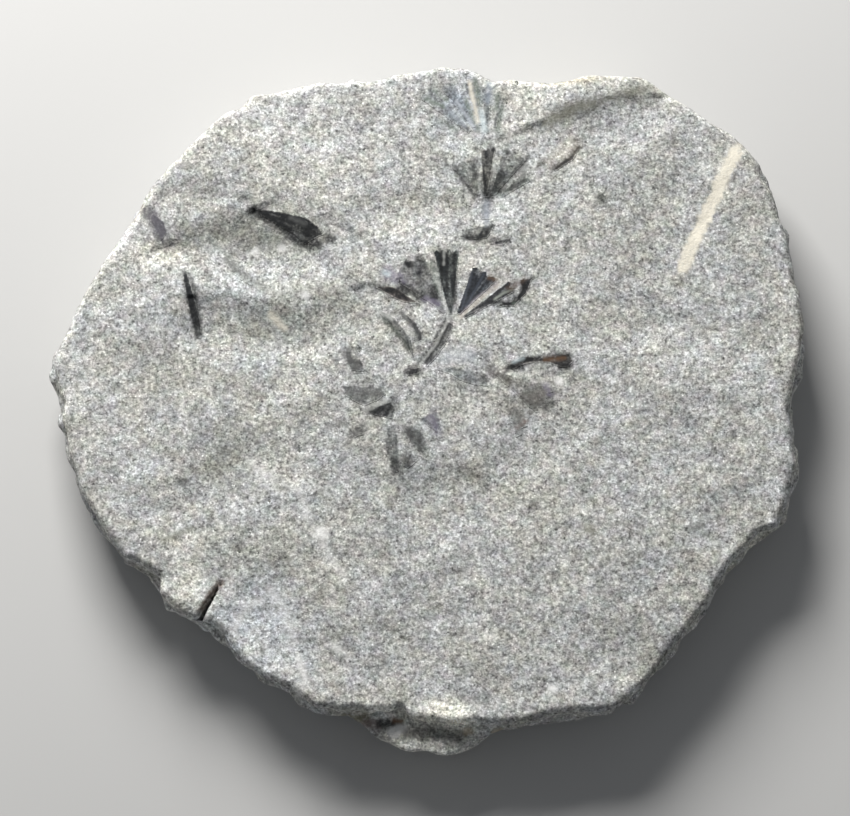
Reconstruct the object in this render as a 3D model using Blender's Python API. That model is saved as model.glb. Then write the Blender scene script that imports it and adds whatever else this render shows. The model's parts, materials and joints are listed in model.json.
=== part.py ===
"""A Sphenophyllum fossil: whorls of wedge-shaped leaves pressed into a loose slab of siltstone.

The slab lies on its flat underside, +Z up, with the origin under the middle of its box.
+X is to the right and +Y away from someone who reads the plant with its stem towards them.
The stone is one solid. Each leaf and stem piece is a thin solid of carbon film, set flush
in a shallow pocket of the stone. Lengths are in millimetres until a mesh is made.
"""

import math

import bmesh
import bpy
import numpy as np
from mathutils import Vector, noise
from mathutils.geometry import delaunay_2d_cdt

MM = 0.001
CLOSEST = 1e-5
CENTRE = (-0.159, 0.605)

# Stone
THICKNESS = 11.0
RIM_INSET = 0.9
RIM_DROP = 0.8
EDGE_STEP = 2.6
EDGE_ROUGHNESS = 0.22
CHIP_LENGTH = 2.2
FACET = 2.5
FACET_JITTER = 0.5
FACET_SEED = 7
LEDGE_HALF_WIDTH = 0.35
BED_WAVE = 0.9
BED_WAVE_LENGTH = 14.0
BASE_INSET = 2.4
BASE_SMOOTHING = 5

# Carbon film
FILM_THICKNESS = 0.5
FILM_SINK = 0.05
FILM_GAP = 0.3
LEAF_FOOT = 0.55
TOOTH = 0.3
CROWN = 0.08
SHARP_CORNER = math.radians(50)

# Front bed that stands out below the top layer, and the dark crevice over it
TONGUE_FROM_X = -9.5
TONGUE_TO_X = 8.5
TONGUE_REACH = 3.6
CREVICE_X = -4.9
CREVICE_HALF_WIDTH = 1.9
CREVICE_DEPTH = 1.6

# Crack at the lower left: mouth, inner end, width at the mouth and depth
CRACK_MOUTH = (-30.7, -28.9)
CRACK_END = (-27.4, -23.2)
CRACK_WIDTH = 0.7
CRACK_DEPTH = 5.0
CRACK_OVERCUT = 2.0

# Broken edge of the top face, clockwise from the upper left
EDGE = (
    (-25.6, 41.7), (-23.9, 43.4), (-17.2, 44.6), (-7.9, 45.4), (-3.2, 46.1),
    (-0.5, 46.9), (2.1, 47.6), (4.4, 47.4), (6.8, 46.6), (8.7, 45.4),
    (16.1, 45.1), (20.1, 45.4), (22.3, 46.1), (28.5, 45.9), (31.1, 44.3),
    (37.1, 40.4), (40.7, 38.0), (43.7, 34.9), (45.1, 31.8), (46.8, 28.4),
    (48.0, 24.5), (49.7, 15.4), (50.3, 10.6), (49.1, 5.2), (48.5, 1.1),
    (48.7, -3.7), (49.2, -7.4), (48.3, -11.2), (46.7, -16.2), (43.7, -17.0),
    (42.4, -18.8), (38.8, -22.6), (37.5, -25.4), (33.7, -30.8), (30.1, -35.7),
    (26.5, -39.3), (24.4, -40.9), (17.5, -41.3), (10.1, -42.8), (4.4, -42.8),
    (-1.9, -42.1), (-3.6, -41.4), (-6.8, -41.7), (-8.9, -40.8), (-12.8, -41.0),
    (-15.1, -40.6), (-18.5, -37.5), (-21.5, -36.7), (-25.5, -33.3), (-26.9, -30.5),
    (-29.6, -28.9), (-31.5, -28.4), (-33.5, -27.3), (-35.7, -25.1), (-35.7, -22.9),
    (-38.9, -20.7), (-40.4, -20.6), (-42.3, -18.0), (-46.7, -11.2), (-48.4, -3.7),
    (-49.7, 3.1), (-50.3, 6.3), (-49.2, 9.5), (-46.5, 15.4), (-43.9, 19.9),
    (-40.3, 25.4), (-36.3, 32.2), (-32.3, 36.1), (-29.2, 39.5),
)

# Beds down the broken side, from the top: height, how far each stands out, and raggedness
BEDS = (
    (8.5, -0.4, 0.4),
    (7.6, 0.2, 0.7),
    (5.2, -0.3, 0.5),
    (4.4, -1.0, 0.8),
    (1.7, -1.4, 0.6),
)

# Broad hollows of the top face: centre, half length, half breadth, turn in degrees, depth
HOLLOWS = (
    (-22.8, 20.8, 9.5, 4.8, 0, 1.4),
    (-21.5, 10.6, 11.0, 4.2, 0, 1.2),
    (-31.0, 29.0, 6.5, 3.0, 15, 0.5),
    (-34.5, 3.0, 8.0, 4.5, -10, 0.4),
    (-27.5, -7.5, 8.0, 5.0, 0, 0.5),
    (0.0, 27.5, 7.5, 3.0, 0, 0.45),
    (8.5, -9.5, 15.0, 4.5, 35, 0.5),
    (-3.5, -10.5, 8.0, 2.5, 0, 0.25),
    (29.0, -31.5, 8.0, 6.0, 50, 0.4),
    (31.5, 11.5, 7.0, 3.0, -10, 0.3),
    (-22.5, -30.5, 8.0, 6.5, -40, 0.9),
    (22.0, 37.5, 8.0, 3.0, 15, 0.5),
)

# Ledges of the top face, high on the left hand as one walks them: points, drop, reach
LEDGES = (
    (((-33.0, 23.4), (-30.0, 24.6), (-27.4, 25.6), (-25.2, 26.6)), 0.8, 3.5),
    (((-23.0, 28.9), (-18.0, 28.3), (-13.0, 25.6)), 0.5, 3.0),
    (((-30.5, 15.2), (-25.2, 14.7), (-17.2, 15.1), (-11.2, 16.3)), 0.6, 3.0),
    (((-11.2, 9.6), (-17.2, 6.8), (-22.5, 6.8), (-28.5, 7.9)), 0.5, 2.5),
    (((-12.9, 3.5), (-18.5, 2.5), (-22.3, -0.3)), 0.35, 2.5),
    (((-11.2, -22.8), (-15.6, -16.6), (-17.2, -11.2), (-23.9, -7.1)), 0.3, 2.5),
    (((15.5, 39.6), (19.5, 41.4), (23.0, 42.4), (29.0, 43.0)), 0.8, 3.0),
    (((-35.6, -18.2), (-31.2, -16.2)), 0.3, 2.0),
    (((23.0, 13.8), (15.2, 16.8)), 0.3, 2.5),
    (((-40.5, 8.6), (-35.0, 9.0), (-31.5, 7.0)), 0.3, 2.5),
    (((40.1, 11.3), (46.5, 11.9)), 0.3, 2.5),
)

# Wedge leaves: base, left and right corners of the toothed end, number of teeth, film
WEDGES = {
    "middle_leaf_centre": ((2.85, 12.9), (0.6, 21.3), (4.1, 21.4), 4, "black"),
    "middle_leaf_right": ((3.9, 12.9), (5.8, 19.2), (9.0, 17.4), 3, "black"),
    "middle_leaf_lower_right": ((4.7, 12.4), (10.6, 17.3), (11.4, 15.9), 2, "black"),
    "upper_leaf_left": ((6.7, 29.3), (2.8, 33.4), (6.1, 33.9), 3, "grey"),
    "upper_leaf_centre": ((7.6, 29.2), (6.9, 35.4), (9.0, 35.8), 3, "black"),
    "upper_leaf_right": ((8.5, 29.2), (9.9, 35.2), (13.0, 34.0), 3, "black"),
    "upper_leaf_far_right": ((9.9, 29.3), (12.7, 32.3), (13.7, 31.2), 2, "grey"),
    "top_leaf_far_left": ((5.5, 38.0), (-1.2, 42.6), (0.5, 44.0), 2, "grey"),
    "top_leaf_left": ((6.1, 38.6), (1.6, 44.0), (3.5, 44.6), 2, "grey"),
    "top_leaf_centre": ((6.9, 38.9), (4.7, 44.6), (6.1, 44.5), 2, "grey"),
    "top_leaf_right": ((7.8, 38.9), (7.1, 43.9), (8.4, 43.3), 2, "grey"),
    "top_leaf_far_right": ((8.8, 38.6), (9.4, 42.9), (10.3, 42.5), 2, "grey"),
    "fan_leaf_upper": ((8.9, 4.9), (16.4, 2.7), (14.2, -0.6), 5, "grey"),
    "fan_leaf_lower": ((9.7, 2.6), (13.1, -1.6), (11.6, -4.0), 2, "grey"),
}

# Stems and ribbon leaves: centre line, its width at each point, film
RIBBONS = {
    "middle_stem": (
        ((2.7, 11.7), (2.6, 10.6), (1.5, 8.9), (0.3, 7.1), (-0.7, 6.0)),
        (0.9, 1.1, 1.3, 1.3, 1.1), "black"),
    "upper_stem": (((7.7, 28.2), (7.5, 27.0), (7.6, 25.9)), (1.0, 1.3, 1.1), "grey"),
    "lower_leaf_upper_left": (
        ((-6.4, 13.2), (-5.0, 11.9), (-3.9, 10.5), (-2.7, 8.9), (-2.1, 7.0)),
        (0.5, 1.1, 1.3, 0.9, 0.4), "grey"),
    "lower_leaf_upper": (
        ((-2.9, 12.5), (-2.0, 11.4), (-1.35, 10.3), (-1.2, 9.1)),
        (0.4, 0.7, 0.8, 0.5), "grey"),
    "left_stem": (
        ((-32.7, 18.4), (-32.1, 16.1), (-31.5, 13.4), (-31.0, 11.3), (-30.7, 9.8)),
        (0.6, 0.9, 1.1, 1.0, 0.5), "black"),
    "right_sliver": (
        ((16.8, 32.7), (17.9, 33.6), (19.2, 34.4), (20.1, 36.1)),
        (0.4, 0.6, 0.6, 0.4), "black"),
}

# Broken leaves and scraps, each by its own outline, clockwise, and film
SCRAPS = {
    "middle_leaf_left": (
        ((1.9, 12.9), (0.4, 14.2), (-1.4, 15.4), (-3.9, 17.1), (-4.3, 18.5), (-3.3, 20.0),
         (-1.5, 20.4), (-0.3, 20.2), (0.8, 17.4), (1.8, 14.9), (2.2, 13.1)), "grey"),
    "middle_leaf_far_left": (
        ((-7.2, 16.6), (-5.6, 16.8), (-4.3, 16.4), (-2.9, 15.4), (-1.2, 14.3),
         (-3.4, 14.5), (-5.2, 15.4)), "black"),
    "middle_leaf_far_right": (
        ((8.4, 13.9), (9.8, 14.3), (11.6, 14.7), (12.4, 16.2), (12.1, 17.5), (13.9, 17.9),
         (13.0, 15.7), (11.4, 13.9)), "black"),
    "lower_joint": (
        ((-2.9, 4.3), (-2.5, 5.3), (-1.3, 5.5), (-1.5, 4.7), (-2.1, 4.6)), "black"),
    "lower_leaf_outer_left": (
        ((-11.2, 7.9), (-10.4, 7.6), (-10.2, 6.7), (-9.1, 6.8), (-8.5, 5.1), (-10.4, 5.1),
         (-10.9, 6.3)), "grey"),
    "lower_leaf_left_upper": (
        ((-11.6, 3.0), (-9.2, 3.0), (-6.5, 2.8), (-5.7, 1.9), (-7.1, 1.0), (-8.5, 0.3),
         (-9.6, 0.7), (-11.2, 1.7)), "grey"),
    "lower_leaf_left": (
        ((-8.0, -0.4), (-6.5, 0.4), (-5.1, 0.9), (-4.5, 0.0), (-4.8, -1.4), (-6.1, -1.1),
         (-7.3, -0.9)), "black"),
    "lower_leaf_far_left": (
        ((-10.5, -2.7), (-8.8, -2.6), (-8.7, -3.6), (-9.9, -4.0)), "grey"),
    "lower_leaf_bottom_left": (
        ((-5.6, -2.4), (-4.5, -2.2), (-4.2, -4.4), (-4.1, -6.4), (-4.1, -8.6), (-4.7, -8.8),
         (-5.7, -6.4), (-5.9, -4.4)), "grey"),
    "lower_leaf_bottom": (
        ((-3.2, -5.6), (-2.3, -5.8), (-1.6, -7.2), (-2.8, -8.2), (-3.3, -7.9)), "grey"),
    "lower_leaf_bottom_right": (
        ((-3.6, -2.4), (-2.3, -2.3), (-0.8, -3.4), (0.1, -5.5), (-0.4, -6.8), (-1.5, -5.7),
         (-2.4, -4.5)), "grey"),
    "lower_leaf_right_lower": (
        ((-1.2, -1.4), (1.1, -0.4), (1.5, -2.2), (1.1, -3.3), (-0.1, -2.5)), "grey"),
    "lower_leaf_right": (
        ((0.9, 5.3), (2.8, 5.6), (4.4, 5.3), (6.5, 4.9), (7.7, 4.0), (7.9, 3.0), (6.3, 3.1),
         (4.1, 3.8), (2.8, 4.6)), "grey"),
    "right_leaf": (
        ((10.5, 5.7), (11.5, 6.4), (12.5, 7.1), (15.5, 6.8), (18.7, 7.4), (19.3, 6.4),
         (18.5, 5.6), (17.2, 5.7), (15.9, 6.2), (13.5, 6.2), (12.2, 5.8), (11.1, 5.3)), "black"),
    "crescent_scrap": (
        ((4.2, 24.5), (6.3, 24.8), (8.9, 25.3), (8.3, 24.0), (7.7, 23.2), (5.2, 23.2)), "black"),
    "small_scrap": (((8.1, 22.5), (9.5, 22.9), (10.9, 23.3), (9.8, 22.2)), "black"),
    "black_leaf": (
        ((-23.9, 27.5), (-20.1, 27.1), (-16.5, 26.2), (-14.8, 24.9), (-14.1, 23.9),
         (-15.6, 23.3), (-16.7, 22.6), (-18.0, 24.0), (-19.6, 24.8), (-21.6, 26.1)), "black"),
    "far_left_leaf": (
        ((-37.4, 26.3), (-36.7, 26.6), (-35.5, 25.5), (-35.1, 24.0), (-35.9, 22.9),
         (-36.9, 24.6)), "grey"),
    "small_left_leaf": (
        ((-27.6, 20.7), (-25.2, 19.7), (-23.6, 18.7), (-23.9, 17.0), (-25.2, 17.8),
         (-26.3, 18.7)), "grey"),
}

MATERIALS = {
    "stone": ((0.33, 0.33, 0.32, 1.0), 0.92),
    "black": ((0.022, 0.022, 0.024, 1.0), 0.6),
    "grey": ((0.115, 0.12, 0.125, 1.0), 0.75),
}


def clear_scene():
    for item in list(bpy.data.objects):
        bpy.data.objects.remove(item, do_unlink=True)


def make_material(name):
    colour, roughness = MATERIALS[name]
    material = bpy.data.materials.new(name)
    material.use_nodes = True
    shader = material.node_tree.nodes["Principled BSDF"]
    shader.inputs["Base Color"].default_value = colour
    shader.inputs["Roughness"].default_value = roughness
    shader.inputs["Metallic"].default_value = 0.0
    material.diffuse_color = colour
    return material


def line_distance(x, y, line):
    """Distance of points to a line of straight pieces, positive on its left hand."""
    nearest = np.full(np.shape(x), np.inf)
    side = np.ones(np.shape(x))
    for (ax, ay), (bx, by) in zip(line, line[1:]):
        dx, dy = bx - ax, by - ay
        along = np.clip(((x - ax) * dx + (y - ay) * dy) / (dx * dx + dy * dy), 0, 1)
        distance = np.hypot(x - ax - along * dx, y - ay - along * dy)
        closer = distance < nearest
        nearest = np.where(closer, distance, nearest)
        side = np.where(closer, np.sign(dx * (y - ay) - dy * (x - ax)), side)
    return nearest * side


def inside(x, y, outline):
    """Whether points lie in a closed outline, by counting the edges to their right."""
    crossings = np.zeros(np.shape(x), dtype=int)
    for (ax, ay), (bx, by) in zip(outline, outline[1:] + outline[:1]):
        if ay == by:
            continue
        spans = (ay > y) != (by > y)
        crossings += spans & (x < ax + (y - ay) * (bx - ax) / (by - ay))
    return crossings % 2 == 1


def surface_height(x, y):
    """Height of the top face over the base at points x, y."""
    x, y = np.asarray(x, dtype=float), np.asarray(y, dtype=float)
    height = np.full(np.shape(x), THICKNESS)
    for cx, cy, half_length, half_breadth, turn, depth in HOLLOWS:
        angle = math.radians(turn)
        u = (x - cx) * math.cos(angle) + (y - cy) * math.sin(angle)
        v = (y - cy) * math.cos(angle) - (x - cx) * math.sin(angle)
        height -= depth * np.exp(-(u / half_length) ** 2 - (v / half_breadth) ** 2)
    for line, drop, reach in LEDGES:
        distance = line_distance(x, y, line)
        step = np.clip(distance / LEDGE_HALF_WIDTH, -1, 1)
        height += 0.5 * drop * step * np.exp(-np.abs(distance) / reach)
    return height


def outward_normals(outline):
    """Unit normals of a clockwise outline, one for each point, pointing out of it."""
    normals = []
    for before, after in zip(outline[-1:] + outline[:-1], outline[1:] + outline[:1]):
        along = Vector((after[0] - before[0], after[1] - before[1])).normalized()
        normals.append((-along.y, along.x))
    return normals


def set_out(outline, reaches):
    """The outline with each point moved out along its normal by its own reach."""
    moved = []
    for (x, y), (nx, ny), reach in zip(outline, outward_normals(outline), reaches):
        moved.append((x + nx * reach, y + ny * reach))
    return moved


def smooth(outline, rounds):
    """The outline with each point drawn towards its neighbours, a number of times."""
    for _ in range(rounds):
        around = zip(outline[-1:] + outline[:-1], outline, outline[1:] + outline[:1])
        outline = [((a[0] + 2 * b[0] + c[0]) / 4, (a[1] + 2 * b[1] + c[1]) / 4)
                   for a, b, c in around]
    return outline


def split_long_edges(outline, longest):
    """The outline with points added so that no straight piece is over the given length."""
    points = []
    for (ax, ay), (bx, by) in zip(outline, outline[1:] + outline[:1]):
        pieces = math.ceil(math.hypot(bx - ax, by - ay) / longest)
        for step in range(pieces):
            share = step / pieces
            points.append((ax + (bx - ax) * share, ay + (by - ay) * share))
    return points


def ragged(outline, amount, layer):
    """How far each point stands out from a smooth break, by a noise of its own layer."""
    return [2 * amount * noise.noise(Vector((x / CHIP_LENGTH, y / CHIP_LENGTH, layer)))
            for x, y in outline]


def slab_edge():
    """The broken edge of the top face, with small chips between the points of EDGE."""
    fine = split_long_edges(list(EDGE), EDGE_STEP)
    return set_out(fine, ragged(fine, EDGE_ROUGHNESS, 0))


def tongue_reach(x, y):
    """How far the lower beds stand out past the top layer at the front."""
    if y > 0:
        return 0.0
    middle = (TONGUE_FROM_X + TONGUE_TO_X) / 2
    half = (TONGUE_TO_X - TONGUE_FROM_X) / 2
    across = abs(x - middle) / half
    return TONGUE_REACH * max(0.0, 1 - across ** 3)


def crevice_depth(x, y):
    """How far the bed under the top layer is hollowed at the front."""
    if y > 0 or abs(x - CREVICE_X) > CREVICE_HALF_WIDTH:
        return 0.0
    return CREVICE_DEPTH


def side_rings(edge):
    """The rings of the broken side from the rim down to the base: points and heights."""
    rim_heights = surface_height([x for x, y in edge], [y for x, y in edge]) - RIM_DROP
    rings = [(edge, rim_heights)]
    for number, (height, outset, roughness) in enumerate(BEDS):
        outline = smooth(edge, number)
        reaches = []
        for (x, y), rough in zip(outline, ragged(outline, roughness, number + 3)):
            local = tongue_reach(x, y) if number else -crevice_depth(x, y)
            reaches.append(outset + rough + local)
        heights = [height + BED_WAVE * noise.noise(Vector((x, y, 0)) / BED_WAVE_LENGTH)
                   for x, y in outline]
        rings.append((set_out(outline, reaches), heights))
    base = smooth(edge, BASE_SMOOTHING)
    reaches = [tongue_reach(x, y) - BASE_INSET for x, y in base]
    rings.append((set_out(base, reaches), [0.0] * len(base)))
    return rings


def wedge_outline(base, left, right, teeth, notch=TOOTH):
    """A leaf: a narrow foot at its base, straight flanks and a toothed, rounded end."""
    base, left, right = Vector(base), Vector(left), Vector(right)
    across = (right - left).normalized()
    outward = Vector((-across.y, across.x))
    foot = across * LEAF_FOOT / 2
    crown = (right - left).length * CROWN
    points = [base - foot, left]
    for number in range(1, 2 * teeth):
        share = number / (2 * teeth)
        rise = crown * math.sin(math.pi * share) + (TOOTH if number % 2 else -notch)
        points.append(left.lerp(right, share) + outward * rise)
    points += [right, base + foot]
    return [(point.x, point.y) for point in points]


def ribbon_outline(line, widths):
    """A ribbon of changing width along a line."""
    left_side, right_side = [], []
    for number, (x, y) in enumerate(line):
        before = line[max(number - 1, 0)]
        after = line[min(number + 1, len(line) - 1)]
        along = Vector((after[0] - before[0], after[1] - before[1])).normalized()
        half = widths[number] / 2
        left_side.append((x - along.y * half, y + along.x * half))
        right_side.append((x + along.y * half, y - along.x * half))
    return left_side + right_side[::-1]


def clockwise(outline):
    """The outline in clockwise order."""
    turns = sum(ax * by - bx * ay for (ax, ay), (bx, by) in zip(outline, outline[1:] + outline[:1]))
    return list(outline) if turns < 0 else list(outline)[::-1]


def film_outlines():
    """Every film by name: its clockwise outline, that of its pocket, and its material."""
    films = {}
    for name, (base, left, right, teeth, film) in WEDGES.items():
        blunt = clockwise(wedge_outline(base, left, right, teeth, notch=0.0))
        outline = clockwise(wedge_outline(base, left, right, teeth))
        films[name] = (outline, widen(blunt, FILM_GAP), film)
    for name, (line, widths, film) in RIBBONS.items():
        outline = clockwise(ribbon_outline(line, widths))
        films[name] = (outline, widen(outline, FILM_GAP), film)
    for name, (outline, film) in SCRAPS.items():
        outline = clockwise(outline)
        films[name] = (outline, widen(outline, FILM_GAP), film)
    return films


def widen(outline, gap):
    """A clockwise outline with every edge moved out by a gap and its sharp corners cut."""
    points = []
    for before, here, after in zip(outline[-1:] + outline[:-1], outline, outline[1:] + outline[:1]):
        corner = Vector(here)
        arriving = (corner - Vector(before)).normalized()
        leaving = (Vector(after) - corner).normalized()
        turn = arriving.cross(leaving)
        angle = arriving.angle(leaving)
        arriving_out = Vector((-arriving.y, arriving.x)) * gap
        leaving_out = Vector((-leaving.y, leaving.x)) * gap
        if turn < 0 and angle > SHARP_CORNER:
            reach = gap * math.tan(angle / 4)
            points.append(corner + arriving_out + arriving * reach)
            points.append(corner + leaving_out - leaving * reach)
        else:
            middle = (arriving_out + leaving_out).normalized()
            points.append(corner + middle * gap / math.cos(angle / 2))
    return [(point.x, point.y) for point in points]


def ledge_points(line):
    """Points along both sides of a ledge, so that the facets follow its step."""
    points = []
    for (ax, ay), (bx, by) in zip(line, line[1:]):
        length = math.hypot(bx - ax, by - ay)
        out_x = -(by - ay) / length * LEDGE_HALF_WIDTH
        out_y = (bx - ax) / length * LEDGE_HALF_WIDTH
        pieces = math.ceil(length / FACET)
        for step in range(pieces + 1):
            x = ax + (bx - ax) * step / pieces
            y = ay + (by - ay) * step / pieces
            points += [(x + out_x, y + out_y), (x - out_x, y - out_y)]
    return points


def fill_points(edge, pockets):
    """Points for the facets of the top face, clear of its edge and of the pockets."""
    low = np.min(edge, axis=0)
    high = np.max(edge, axis=0)
    rows = np.arange(low[1], high[1], FACET * math.sqrt(3) / 2)
    x, y = np.meshgrid(np.arange(low[0], high[0], FACET), rows)
    x += (np.arange(len(rows)) % 2)[:, None] * FACET / 2
    jitter = np.random.default_rng(FACET_SEED).uniform(-FACET_JITTER, FACET_JITTER, (2,) + x.shape)
    x, y = (x + jitter[0]).ravel(), (y + jitter[1]).ravel()
    points = []
    for line, _, _ in LEDGES:
        points += ledge_points(line)
        clear = np.abs(line_distance(x, y, line)) > FACET / 2
        x, y = x[clear], y[clear]
    x, y = np.array(points + list(zip(x, y))).T
    keep = inside(x, y, edge) & (np.abs(line_distance(x, y, edge + edge[:1])) > FACET / 2)
    for pocket in pockets:
        clear = np.abs(line_distance(x, y, pocket + pocket[:1])) > FACET / 4
        keep &= clear & ~inside(x, y, pocket)
    return list(zip(x[keep], y[keep]))


def triangulate(loops, extra=()):
    """Flat facets that fill the first loop, with the other loops and points kept in them."""
    points = [point for loop in loops for point in loop] + list(extra)
    faces = []
    start = 0
    for loop in loops:
        faces.append(list(range(start, start + len(loop)))[::-1])
        start += len(loop)
    flat, _, triangles, sources, _, owners = delaunay_2d_cdt(
        [Vector(point) for point in points], [], faces, 1, CLOSEST)
    return flat, triangles, sources, owners


def join_rings(mesh, above, below):
    """A band of faces between two closed rings of corners."""
    for number in range(len(above)):
        after = (number + 1) % len(above)
        mesh.faces.new((above[number], above[after], below[after], below[number]))


def make_slab(pockets, material):
    """The stone: a faceted top face with pockets, a bedded side and a flat base."""
    edge = slab_edge()
    top_edge = set_out(edge, [-RIM_INSET] * len(edge))
    flat, triangles, sources, owners = triangulate(
        [top_edge] + pockets, fill_points(top_edge, pockets))
    heights = surface_height([point.x for point in flat], [point.y for point in flat])
    floors = heights - (FILM_THICKNESS + FILM_SINK + FILM_GAP)
    mesh = bmesh.new()
    upper, lower = {}, {}

    def corner(store, levels, index):
        if index not in store:
            x, y = flat[index]
            store[index] = mesh.verts.new((x * MM, y * MM, levels[index] * MM))
        return store[index]

    borders = {}
    for triangle, owner in zip(triangles, owners):
        sunk = any(loop > 0 for loop in owner)
        store, levels = (lower, floors) if sunk else (upper, heights)
        mesh.faces.new([corner(store, levels, index) for index in triangle])
        for side in zip(triangle, triangle[1:] + triangle[:1]):
            borders.setdefault(tuple(sorted(side)), set()).add(sunk)
    for (a, b), kinds in borders.items():
        if len(kinds) == 2:
            mesh.faces.new((upper[a], upper[b], lower[b], lower[a]))

    place_of = {source: index for index, merged in enumerate(sources) for source in merged}
    above = [upper[place_of[number]] for number in range(len(top_edge))]
    for ring, levels in side_rings(edge):
        below = [mesh.verts.new((x * MM, y * MM, z * MM)) for (x, y), z in zip(ring, levels)]
        join_rings(mesh, above, below)
        above = below
    mesh.faces.new(above)
    bmesh.ops.triangulate(mesh, faces=[face for face in mesh.faces if len(face.verts) == 4])
    bmesh.ops.recalc_face_normals(mesh, faces=mesh.faces)
    return add_object("slab", mesh, material, (-CENTRE[0], -CENTRE[1]))


def make_film(name, outline, material, slab):
    """A leaf or stem piece: a thin plate that follows the top face of the slab."""
    flat, triangles, _, _ = triangulate([outline])
    heights = surface_height([point.x for point in flat], [point.y for point in flat]) - FILM_SINK
    ox, oy = outline[0]
    mesh = bmesh.new()
    upper, lower = [], []
    for (x, y), z in zip(flat, heights):
        upper.append(mesh.verts.new(((x - ox) * MM, (y - oy) * MM, z * MM)))
        lower.append(mesh.verts.new(((x - ox) * MM, (y - oy) * MM, (z - FILM_THICKNESS) * MM)))
    for a, b, c in triangles:
        mesh.faces.new((upper[a], upper[b], upper[c]))
        mesh.faces.new((lower[c], lower[b], lower[a]))
    below = dict(zip(upper, lower))
    rim = [side.verts for side in mesh.edges if side.is_boundary and side.verts[0] in below]
    for a, b in rim:
        mesh.faces.new((a, b, below[b], below[a]))
    bmesh.ops.recalc_face_normals(mesh, faces=mesh.faces)
    return add_object(name, mesh, material, (ox, oy), slab)


def add_object(name, mesh, material, place, parent=None):
    """A named object from a finished mesh, with its origin at a place in its parent."""
    data = bpy.data.meshes.new(name)
    mesh.to_mesh(data)
    mesh.free()
    data.materials.append(material)
    item = bpy.data.objects.new(name, data)
    item.location = (place[0] * MM, place[1] * MM, 0.0)
    item.parent = parent
    bpy.context.collection.objects.link(item)
    return item


def cut_crack(slab):
    """Cut the thin crack that runs in from the lower left edge."""
    mouth, end = Vector(CRACK_MOUTH), Vector(CRACK_END)
    along = (end - mouth).normalized()
    half = Vector((-along.y, along.x)) * CRACK_WIDTH / 2
    outside = mouth - along * CRACK_OVERCUT
    corners = (outside - half, outside + half, end)
    mesh = bmesh.new()
    lower, upper = [], []
    for x, y in corners:
        lower.append(mesh.verts.new((x * MM, y * MM, (THICKNESS - CRACK_DEPTH) * MM)))
        upper.append(mesh.verts.new((x * MM, y * MM, (THICKNESS + CRACK_OVERCUT) * MM)))
    mesh.faces.new(lower)
    mesh.faces.new(upper)
    join_rings(mesh, upper, lower)
    bmesh.ops.recalc_face_normals(mesh, faces=mesh.faces)
    cutter = add_object("crack_cutter", mesh, slab.data.materials[0], (0.0, 0.0), slab)
    cutter.hide_render = True
    cutter.display_type = 'WIRE'
    cut = slab.modifiers.new("Crack", 'BOOLEAN')
    cut.operation = 'DIFFERENCE'
    cut.solver = 'EXACT'
    cut.object = cutter


def main():
    clear_scene()
    materials = {name: make_material(name) for name in MATERIALS}
    films = film_outlines()
    pockets = [pocket for _, pocket, _ in films.values()]
    slab = make_slab(pockets, materials["stone"])
    cut_crack(slab)
    for name, (outline, _, film) in films.items():
        make_film(name, outline, materials[film], slab)


main()
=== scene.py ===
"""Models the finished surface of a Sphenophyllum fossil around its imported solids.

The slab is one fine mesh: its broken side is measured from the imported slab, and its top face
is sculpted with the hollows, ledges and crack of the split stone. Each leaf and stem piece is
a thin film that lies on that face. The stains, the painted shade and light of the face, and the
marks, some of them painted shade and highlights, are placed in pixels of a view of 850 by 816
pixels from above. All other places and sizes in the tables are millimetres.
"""

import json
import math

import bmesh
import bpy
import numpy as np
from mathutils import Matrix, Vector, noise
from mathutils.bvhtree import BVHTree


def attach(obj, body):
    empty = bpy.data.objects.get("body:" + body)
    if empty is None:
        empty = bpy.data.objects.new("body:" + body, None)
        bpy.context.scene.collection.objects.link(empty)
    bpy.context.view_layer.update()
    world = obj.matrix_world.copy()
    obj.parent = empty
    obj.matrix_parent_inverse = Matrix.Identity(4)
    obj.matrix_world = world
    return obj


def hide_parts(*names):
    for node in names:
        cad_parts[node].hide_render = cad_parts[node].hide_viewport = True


bl_info = {
    "name": "Fossil Sphenophyllum",
    "version": (1, 0, 0),
    "blender": (4, 5, 0),
    "location": "View3D > Sidebar > Fossil",
    "description": "A slab of siltstone with a pressed Sphenophyllum shoot",
    "category": "Add Mesh",
}

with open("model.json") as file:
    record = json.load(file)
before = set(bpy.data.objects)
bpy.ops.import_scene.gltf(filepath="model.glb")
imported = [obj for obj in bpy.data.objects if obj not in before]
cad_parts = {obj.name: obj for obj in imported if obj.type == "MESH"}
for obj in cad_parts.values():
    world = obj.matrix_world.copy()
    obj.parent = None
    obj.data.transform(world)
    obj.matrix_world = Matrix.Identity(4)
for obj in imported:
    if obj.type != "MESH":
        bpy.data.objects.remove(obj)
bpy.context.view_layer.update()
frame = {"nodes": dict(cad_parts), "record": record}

MM = 0.001

# Where the middle of the slab's box lies in the tables
CENTRE = (-0.159, 0.605)

FACE_HEIGHT = 11.0

# Side of the slab: spokes and levels that measure it, and the level where the face takes over
SPOKES = 720
LOW_LEVEL = 0.05
TOP_LEVEL = 9.4
LEVEL_STEP = 0.45
MEASURE_FROM = 70.0

# Beds and chips of the side: how far in they reach, and where they fade at the foot and the rim
SIDE_DEPTH = 2.0
FOOT_HEIGHT = 0.8
CALM_LEVEL = 8.6
CALM_HEIGHT = 1.4
RIM_CALM = 0.6

# Worn rim of the face
RIM_WIDTH = 0.9
RIM_DROP = 0.8

# Base: its mean height, the level up to which it reaches, and the faces that are joined there
BASE_HEIGHT = 0.12
BASE_LEVEL = 0.3
UNDERSIDE_LEVEL = 0.5
UNDERSIDE_NORMAL = 0.8
UNDERSIDE_KEPT = 0.08

# Height over which the unevenness of the face fades in
FACE_BLEND = 0.8

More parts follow.
